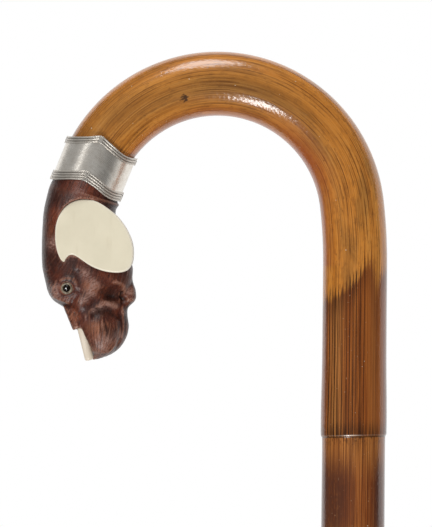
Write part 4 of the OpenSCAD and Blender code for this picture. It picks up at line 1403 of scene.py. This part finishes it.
# %% Rings and beads
ring_finish = Finish("pale_eye_ring")
ring_grain = ring_finish.pattern(ring_finish.place(), (900, 900, 900))
ring_tone = ring_finish.tones(ring_grain, (0.35, (96, 80, 62)), (0.65, (168, 156, 136)))
ring_finish.set(Base_Color=ring_tone, Roughness=0.35)
bead_finish = Finish("black_glass")
bead_depths = bead_finish.pattern(bead_finish.place(), (500, 500, 500), detail=2)
bead_tone = bead_finish.tones(bead_depths, (0.4, (6, 5, 5)), (0.7, (18, 12, 9)))
bead_finish.set(Base_Color=bead_tone, Roughness=0.05)

BEAD_R, DOME_R = 1.38, 1.55
RING_PROFILE = [
    [GLASS_R + GLUE, -RING_T + 0.35], [GLASS_R + GLUE, -0.4], [BEAD_R + GLUE, -0.36], [BEAD_R + GLUE, -0.14],
    [BEAD_R + 0.14, -0.02], [RING_R - 0.35, 0.05], [RING_R - 0.12, -0.05], [RING_R, -0.3],
    [RING_R, -RING_T], [GLASS_R, -RING_T]]
BEAD_PROFILE = [[GLASS_R, -RING_T + HAIR + 0.2], [GLASS_R, -0.46], [BEAD_R, -0.42]]
BEAD_PROFILE += [[DOME_R * math.sin(t), -1.0 + DOME_R * math.cos(t)] for t in np.radians(range(60, 2, -6))]
beads = bpy.data.collections.new("glass_beads")
for side, word in SIDES:
    surround = piece_from_rings("eye_surround_" + word, turn_on_lathe(RING_PROFILE, side), caps=False)
    settle(surround, "eye_ring_" + word, ring_finish.material)
    bead = piece_from_rings("eye_bead_" + word, turn_on_lathe(BEAD_PROFILE, side))
    settle(bead, "eye_glass_" + word, bead_finish.material)
    beads.objects.link(bead)

# %% [markdown]
# ## The ferrule and the hidden pieces
#
# The foot wears a brass tube with a bead, two nails and a steel tip. The solid model's own meshes
# have the right shape here, so they stay and only get a finish. The stud, pegs and wires inside the
# head stay too. Their metal is noise in two or three tones, because worn metal is never one colour.

# %% Brass and steel
brass = Finish("worn_brass")
brass_at = brass.place()
rub = brass.pattern(brass_at, (120, 120, 900), detail=4, rough=0.6)
dull = brass.pattern(brass_at, (160, 160, 160), rough=0.6)
gold = brass.tones(dull, (0.3, (150, 112, 58)), (0.55, (196, 158, 92)), (0.8, (214, 182, 120)))
brass_finish = brass.set(Base_Color=gold, Metallic=1.0, Normal=brass.bump(rub, 0.2, 0.0001),
                         Roughness=brass.span(rub, 0.3, 0.7, 0.24, 0.42))
steel = Finish("worn_steel")
pits = steel.pattern(steel.place(), (600, 600, 600), detail=4, rough=0.6)
grey = steel.tones(pits, (0.35, (92, 86, 80)), (0.6, (150, 148, 146)))
steel_finish = steel.set(Base_Color=grey, Metallic=1.0, Normal=steel.bump(pits, 0.3, 0.0001),
                         Roughness=steel.span(pits, 0.3, 0.7, 0.3, 0.5))
KEPT = {"ferrule_shell": brass_finish, "ferrule_nails": brass_finish, "ferrule_tip": steel_finish,
        "neck_stud": steel_finish, "eye_wire_left": steel_finish, "eye_wire_right": steel_finish,
        "ear_pegs_left": cream_finish, "ear_pegs_right": cream_finish}
for name, finish in KEPT.items():
    node = frame["nodes"][name]
    node.data.materials.clear()
    node.data.materials.append(finish)
    if finish is not cream_finish:
        metal_pieces.objects.link(node)
    print(name, "keeps its mesh")

# %% [markdown]
# ## Floor and white room
#
# The photograph was taken against white. A backdrop could curve up behind the cane, but a white world
# does the same and has no edge. A pale floor lies under the foot. The camera and the reflections see
# the world at full strength. It lights the cane less than that, or the shadows would fill up.

# %% Floor and world
floor = put_in_scene("floor", [(-9, -9, 0), (9, -9, 0), (9, 9, 0), (-9, 9, 0)], [(0, 1, 2, 3)])
floor_finish = Finish("pale_floor")
floor_cloud = floor_finish.pattern(floor_finish.place(), (3, 3, 3))
floor_tone = floor_finish.tones(floor_cloud, (0.3, (232, 231, 228)), (0.7, (238, 237, 235)))
floor.data.materials.append(floor_finish.set(Base_Color=floor_tone, Roughness=0.8))
floor.visible_glossy = False

WORLD_LIGHT, WORLD_SEEN = 0.62, 1.0
world = bpy.data.worlds.new("studio")
bpy.context.scene.world = world
world.use_nodes = True
tree = world.node_tree
sky = tree.nodes["Background"]
sky.inputs["Color"].default_value = (1, 1, 1, 1)
light_path = tree.nodes.new("ShaderNodeLightPath")
seen = tree.nodes.new("ShaderNodeMath")
seen.operation = "MAXIMUM"
strength = tree.nodes.new("ShaderNodeMapRange")
strength.inputs["To Min"].default_value = WORLD_LIGHT
strength.inputs["To Max"].default_value = WORLD_SEEN
tree.links.new(light_path.outputs["Is Camera Ray"], seen.inputs[0])
tree.links.new(light_path.outputs["Is Glossy Ray"], seen.inputs[1])
tree.links.new(seen.outputs[0], strength.inputs["Value"])
tree.links.new(strength.outputs["Result"], sky.inputs["Strength"])
print("floor and world ready")

# %% [markdown]
# White all round would veil the varnish and flatten the silver. In a studio the camera's side is
# darker, so a big curved screen stands there. Only reflections see it. Only the metal is lit by it:
# the cane and the wood see it black, which keeps them deep. Its tone changes with the direction: grey
# over most of it, darkest half-way to the right, and bright at the far right. That gives the silver
# its dark band. A picture of a studio could be reflected as well, but here each tone is set by its
# direction.

# %% Screen on the camera's side
SCREEN_R = 5.0
# degrees to the right of the camera's direction, brightness
SCREEN_TONES = [(-120, 0.42), (-100, 0.36), (-72, 0.36), (-60, 0.42), (-42, 0.42), (-20, 0.38), (0, 0.34),
                (18, 0.28), (31, 0.2), (54, 0.18), (63, 0.4), (70, 0.75), (88, 0.9)]
TONE_ABOVE, TONE_BELOW = 0.5, 0.22
# degrees round the view, how many degrees from the camera's direction the screen reaches there
REACH = [(0, 104), (20, 112), (45, 126), (90, 130), (180, 127), (225, 123), (270, 117), (315, 118),
         (345, 109), (360, 104)]
round_view = np.arange(72) * 5.0
reach_at = np.interp(round_view, *zip(*REACH))
off, way = np.radians(np.linspace(0.01, 1, 30)[:, None] * reach_at), np.radians(round_view)
dish = np.stack([np.sin(off) * np.cos(way), -np.cos(off), np.sin(off) * np.sin(way)], -1)
turns = np.degrees(np.arctan2(dish[..., 0], -dish[..., 1]))
rises = np.degrees(np.arcsin(np.clip(dish[..., 2], -1, 1)))
brightness = np.interp(turns, *zip(*SCREEN_TONES))
high_share, low_share = step(rises, 30, 70), step(-rises, 20, 60)
brightness = brightness * (1 - high_share) + TONE_ABOVE * high_share
brightness = brightness * (1 - low_share) + TONE_BELOW * low_share
screen_points = (SCREEN_R * dish + [0, 0, CROOK_Z * MM]).reshape(-1, 3)
reflected = put_in_scene("reflected_screen", screen_points, tube_faces(*dish.shape[:2], False))
add_fact(reflected.data, "tone", brightness.ravel())
glow = Finish("screen_tones")
emitter = glow.node("ShaderNodeEmission")
glow.join(glow.fact("tone"), emitter.inputs["Strength"])
glow.join(emitter.outputs[0], glow.tree.nodes["Material Output"].inputs["Surface"])
reflected.data.materials.append(glow.material)
for kind in ("camera", "diffuse", "transmission", "volume_scatter", "shadow"):
    setattr(reflected, "visible_" + kind, False)
reflected.light_linking.receiver_collection = metal_pieces
print("screen reaches", min(r for _, r in REACH), "to", max(r for _, r in REACH), "degrees")

# %% [markdown]
# ## Lights
#
# The photograph shows one broad light above and a weaker one below in front. They draw the two soft
# highlights on the crook. The lower one would also bleach the floor, so it lights the cane alone. A
# faint one comes from the left, a fourth only gives the glass beads their spark, and a fifth only
# brings out the carving. Point lamps would give hard dots, so all five are broad area lights.

# %% Lights and what they reach
whole_cane = bpy.data.collections.new("whole_cane")
for piece in bpy.context.scene.objects:
    if piece.type == "MESH" and piece not in (floor, reflected):
        whole_cane.objects.link(piece)
head_pieces = bpy.data.collections.new("head_pieces")
head_pieces.objects.link(head)
LIGHTS = [  # name, direction from the crook, metres away, width and height, watts, what it lights
    ("light_above", (-0.09, -0.17, 0.98), 0.9, (0.36, 0.42), 3.5, None),
    ("light_below", (-0.23, -0.71, -0.66), 0.9, (0.13, 0.34), 3.5, whole_cane),
    ("light_left", (-0.74, -0.6, 0.29), 0.9, (0.12, 0.3), 0.22, None),
    ("light_spark", (-0.6, -0.78, -0.02), 0.9, (0.5, 0.42), 16.0, beads),
    ("light_head", (-0.3, -0.88, 0.37), 0.8, (0.4, 0.4), 2.4, head_pieces)]
crook_middle = Vector((CROOK_X * MM, 0, CROOK_Z * MM))
for name, direction, distance, size, watts, reached in LIGHTS:
    light = bpy.data.lights.new(name, "AREA")
    light.shape, light.size, light.size_y, light.energy = "RECTANGLE", size[0], size[1], watts
    lamp = bpy.data.objects.new(name, light)
    bpy.context.scene.collection.objects.link(lamp)
    toward = Vector(direction).normalized()
    lamp.location = crook_middle + toward * distance
    lamp.rotation_mode = "QUATERNION"
    lamp.rotation_quaternion = toward.to_track_quat("Z", "Y")
    lamp.visible_camera = False
    if reached:
        lamp.light_linking.receiver_collection = reached
    print(name, "shines on", reached.name if reached else "everything")

# %% [markdown]
# ## Camera
#
# The camera looks square at the side of the crook, from far away, because the photograph shows almost
# no perspective. Its place follows from the photograph: the crook's middle lies at a known pixel, one
# pixel is 0.375 mm, and the picture is rolled by half a degree.

# %% Camera
PIXEL = 0.375
IMAGE_W, IMAGE_H = 432, 527
CROOK_PIXEL = (217.0, 218.4)
ROLL = math.radians(0.49)
FAR = 4.0
dx, dy = (IMAGE_W - 1) / 2 - CROOK_PIXEL[0], (IMAGE_H - 1) / 2 - CROOK_PIXEL[1]
right_px = dx * math.cos(ROLL) + dy * math.sin(ROLL)
down_px = -dx * math.sin(ROLL) + dy * math.cos(ROLL)
centre = Vector(((CROOK_X + right_px * PIXEL) * MM, 0, (CROOK_Z - down_px * PIXEL) * MM))
camera_data = bpy.data.cameras.new("camera")
camera_data.sensor_width = 36
camera_data.lens = 36 * FAR / (IMAGE_H * PIXEL * MM)
camera_data.clip_start, camera_data.clip_end = 0.1, 100
camera = bpy.data.objects.new("camera", camera_data)
bpy.context.scene.collection.objects.link(camera)
right = Vector((math.cos(ROLL), 0, math.sin(ROLL)))
up = Vector((-math.sin(ROLL), 0, math.cos(ROLL)))
back = right.cross(up)
camera.matrix_world = Matrix(((right.x, up.x, back.x, centre.x), (right.y, up.y, back.y, -FAR),
                              (right.z, up.z, back.z, centre.z), (0, 0, 0, 1)))
bpy.context.scene.camera = camera
bpy.context.scene.view_settings.view_transform = "Standard"
print("camera", tuple(round(c, 3) for c in camera.location), "lens", round(camera_data.lens), "mm")

# %% Sizes and the end
print("solid box", [round(c, 4) for c in (*cad_low, *cad_high)])
